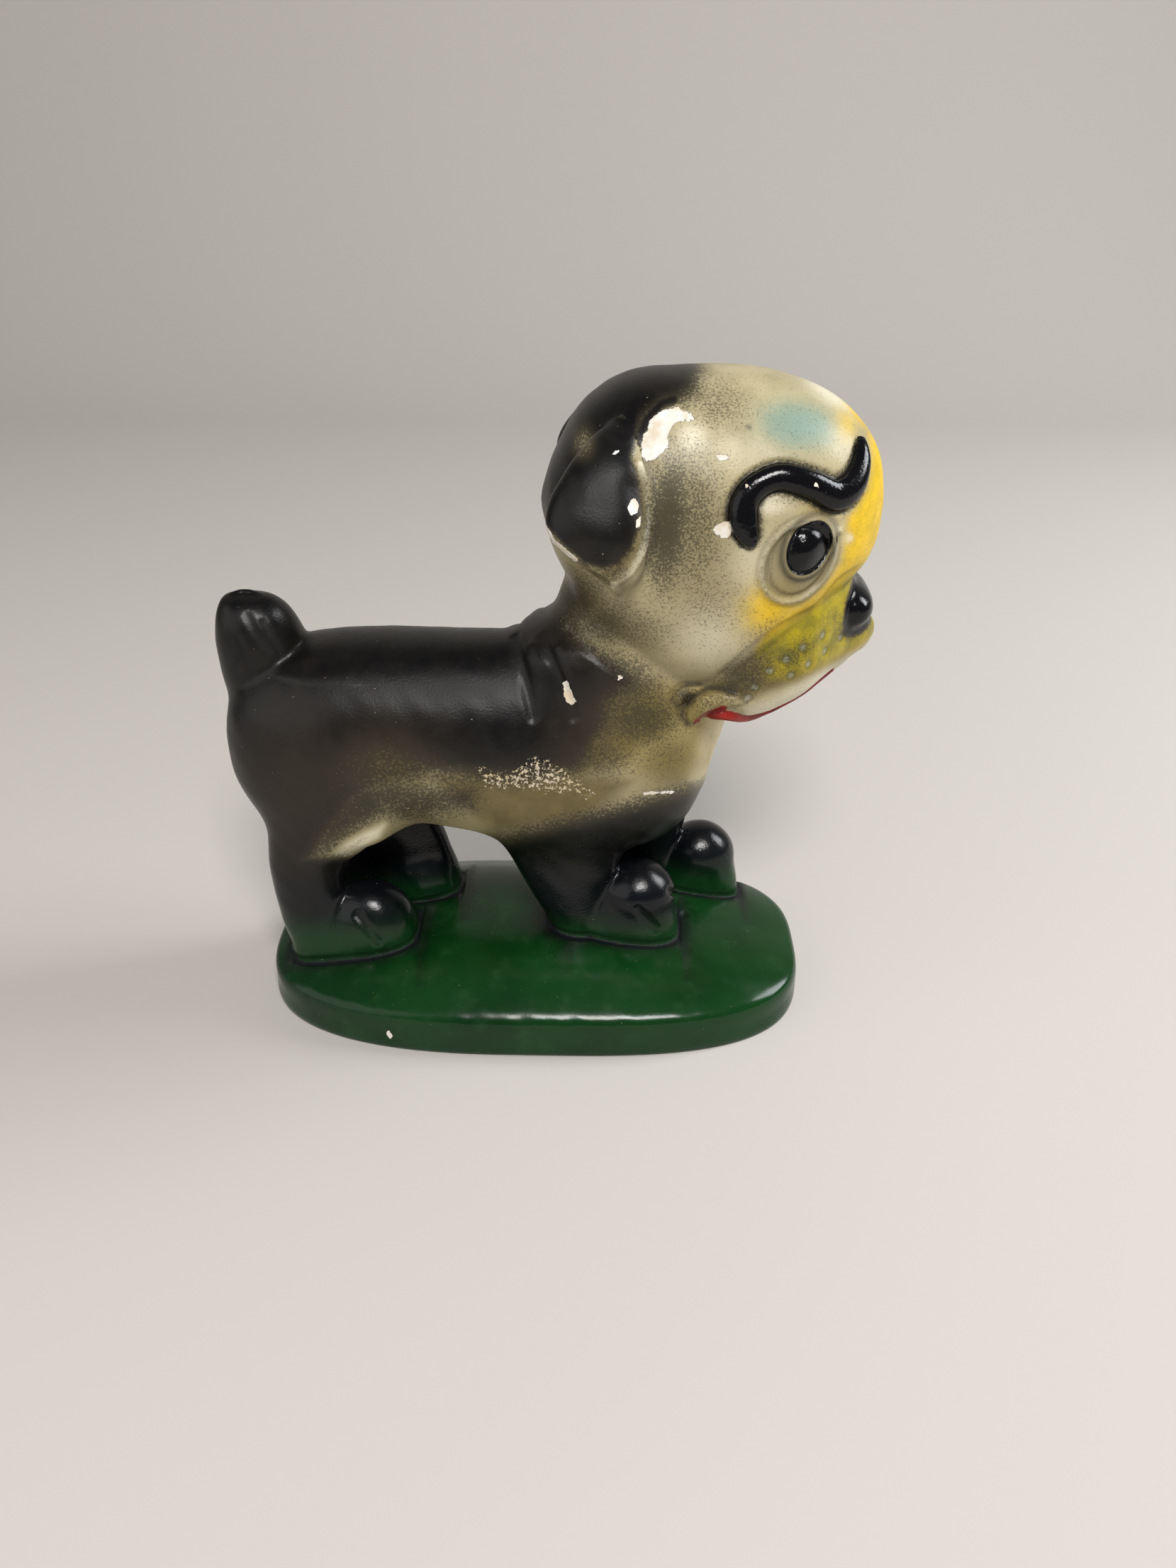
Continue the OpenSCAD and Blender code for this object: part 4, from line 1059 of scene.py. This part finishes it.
# ---- floor, light and camera
floor_mesh = bpy.data.meshes.new("floor")
bend = [(0.55 + 0.3 * math.sin(a), 0.3 - 0.3 * math.cos(a)) for a in np.linspace(0.1, math.pi / 2, 14)]
rows = [(-1.2, 0.0), (0.55, 0.0)] + bend + [(0.85, 1.5)]
floor_mesh.from_pydata([(x, y, z) for y, z in rows for x in (-1.6, 1.6)], [],
                       [(2 * i, 2 * i + 1, 2 * i + 3, 2 * i + 2) for i in range(len(rows) - 1)])
floor = place("floor", floor_mesh)
for p in floor_mesh.polygons:
    p.use_smooth = True
floor_paint = bpy.data.materials.new("pale_floor")
floor_paint.use_nodes = True
floor_look = floor_paint.node_tree.nodes["Principled BSDF"].inputs
floor_look["Base Color"].default_value = (0.56, 0.53, 0.49, 1)
floor_look["Roughness"].default_value = 0.9
floor_mesh.materials.append(floor_paint)


def area(name, where, at, size, power, tint):
    """A soft lamp that looks at a point."""
    light = bpy.data.lights.new(name, "AREA")
    light.shape, light.size, light.size_y = "RECTANGLE", size[0], size[1]
    light.energy, light.color = power, tint
    o = place(name, light)
    o.location = where
    d = np.array(at) - np.array(where)
    yaw = math.atan2(d[0], -d[1])
    pitch = math.atan2(math.hypot(d[0], d[1]), -d[2])
    o.rotation_euler = (pitch, 0, yaw + math.pi)


area("overhead", (0.12, -0.72, 0.95), (0, 0, 0.06), (0.4, 0.28), 11, (1, 0.98, 0.95))
area("window", (0.75, 0.12, 0.55), (0, 0, 0.08), (0.35, 0.45), 6, (0.95, 0.97, 1))
area("room", (-0.8, -0.5, 0.5), (0, 0, 0.06), (1.1, 0.9), 3, (1, 0.97, 0.93))
world = bpy.data.worlds.new("studio")
bpy.context.scene.world = world
world.use_nodes = True
sky = world.node_tree.nodes["Background"].inputs
sky["Color"].default_value, sky["Strength"].default_value = (0.9, 0.92, 1, 1), 0.14

camera = bpy.data.cameras.new("camera")
camera.sensor_width = 36.0
camera.lens = FOCAL / VIEW_HEIGHT * camera.sensor_width
camera.clip_start, camera.clip_end = 0.01, 20
eye = place("camera", camera)
eye.location = EYE_POINT * MM
eye.rotation_euler = (TIP, 0, TURN)
bpy.context.scene.camera = eye
bpy.context.scene.view_settings.view_transform = "Standard"
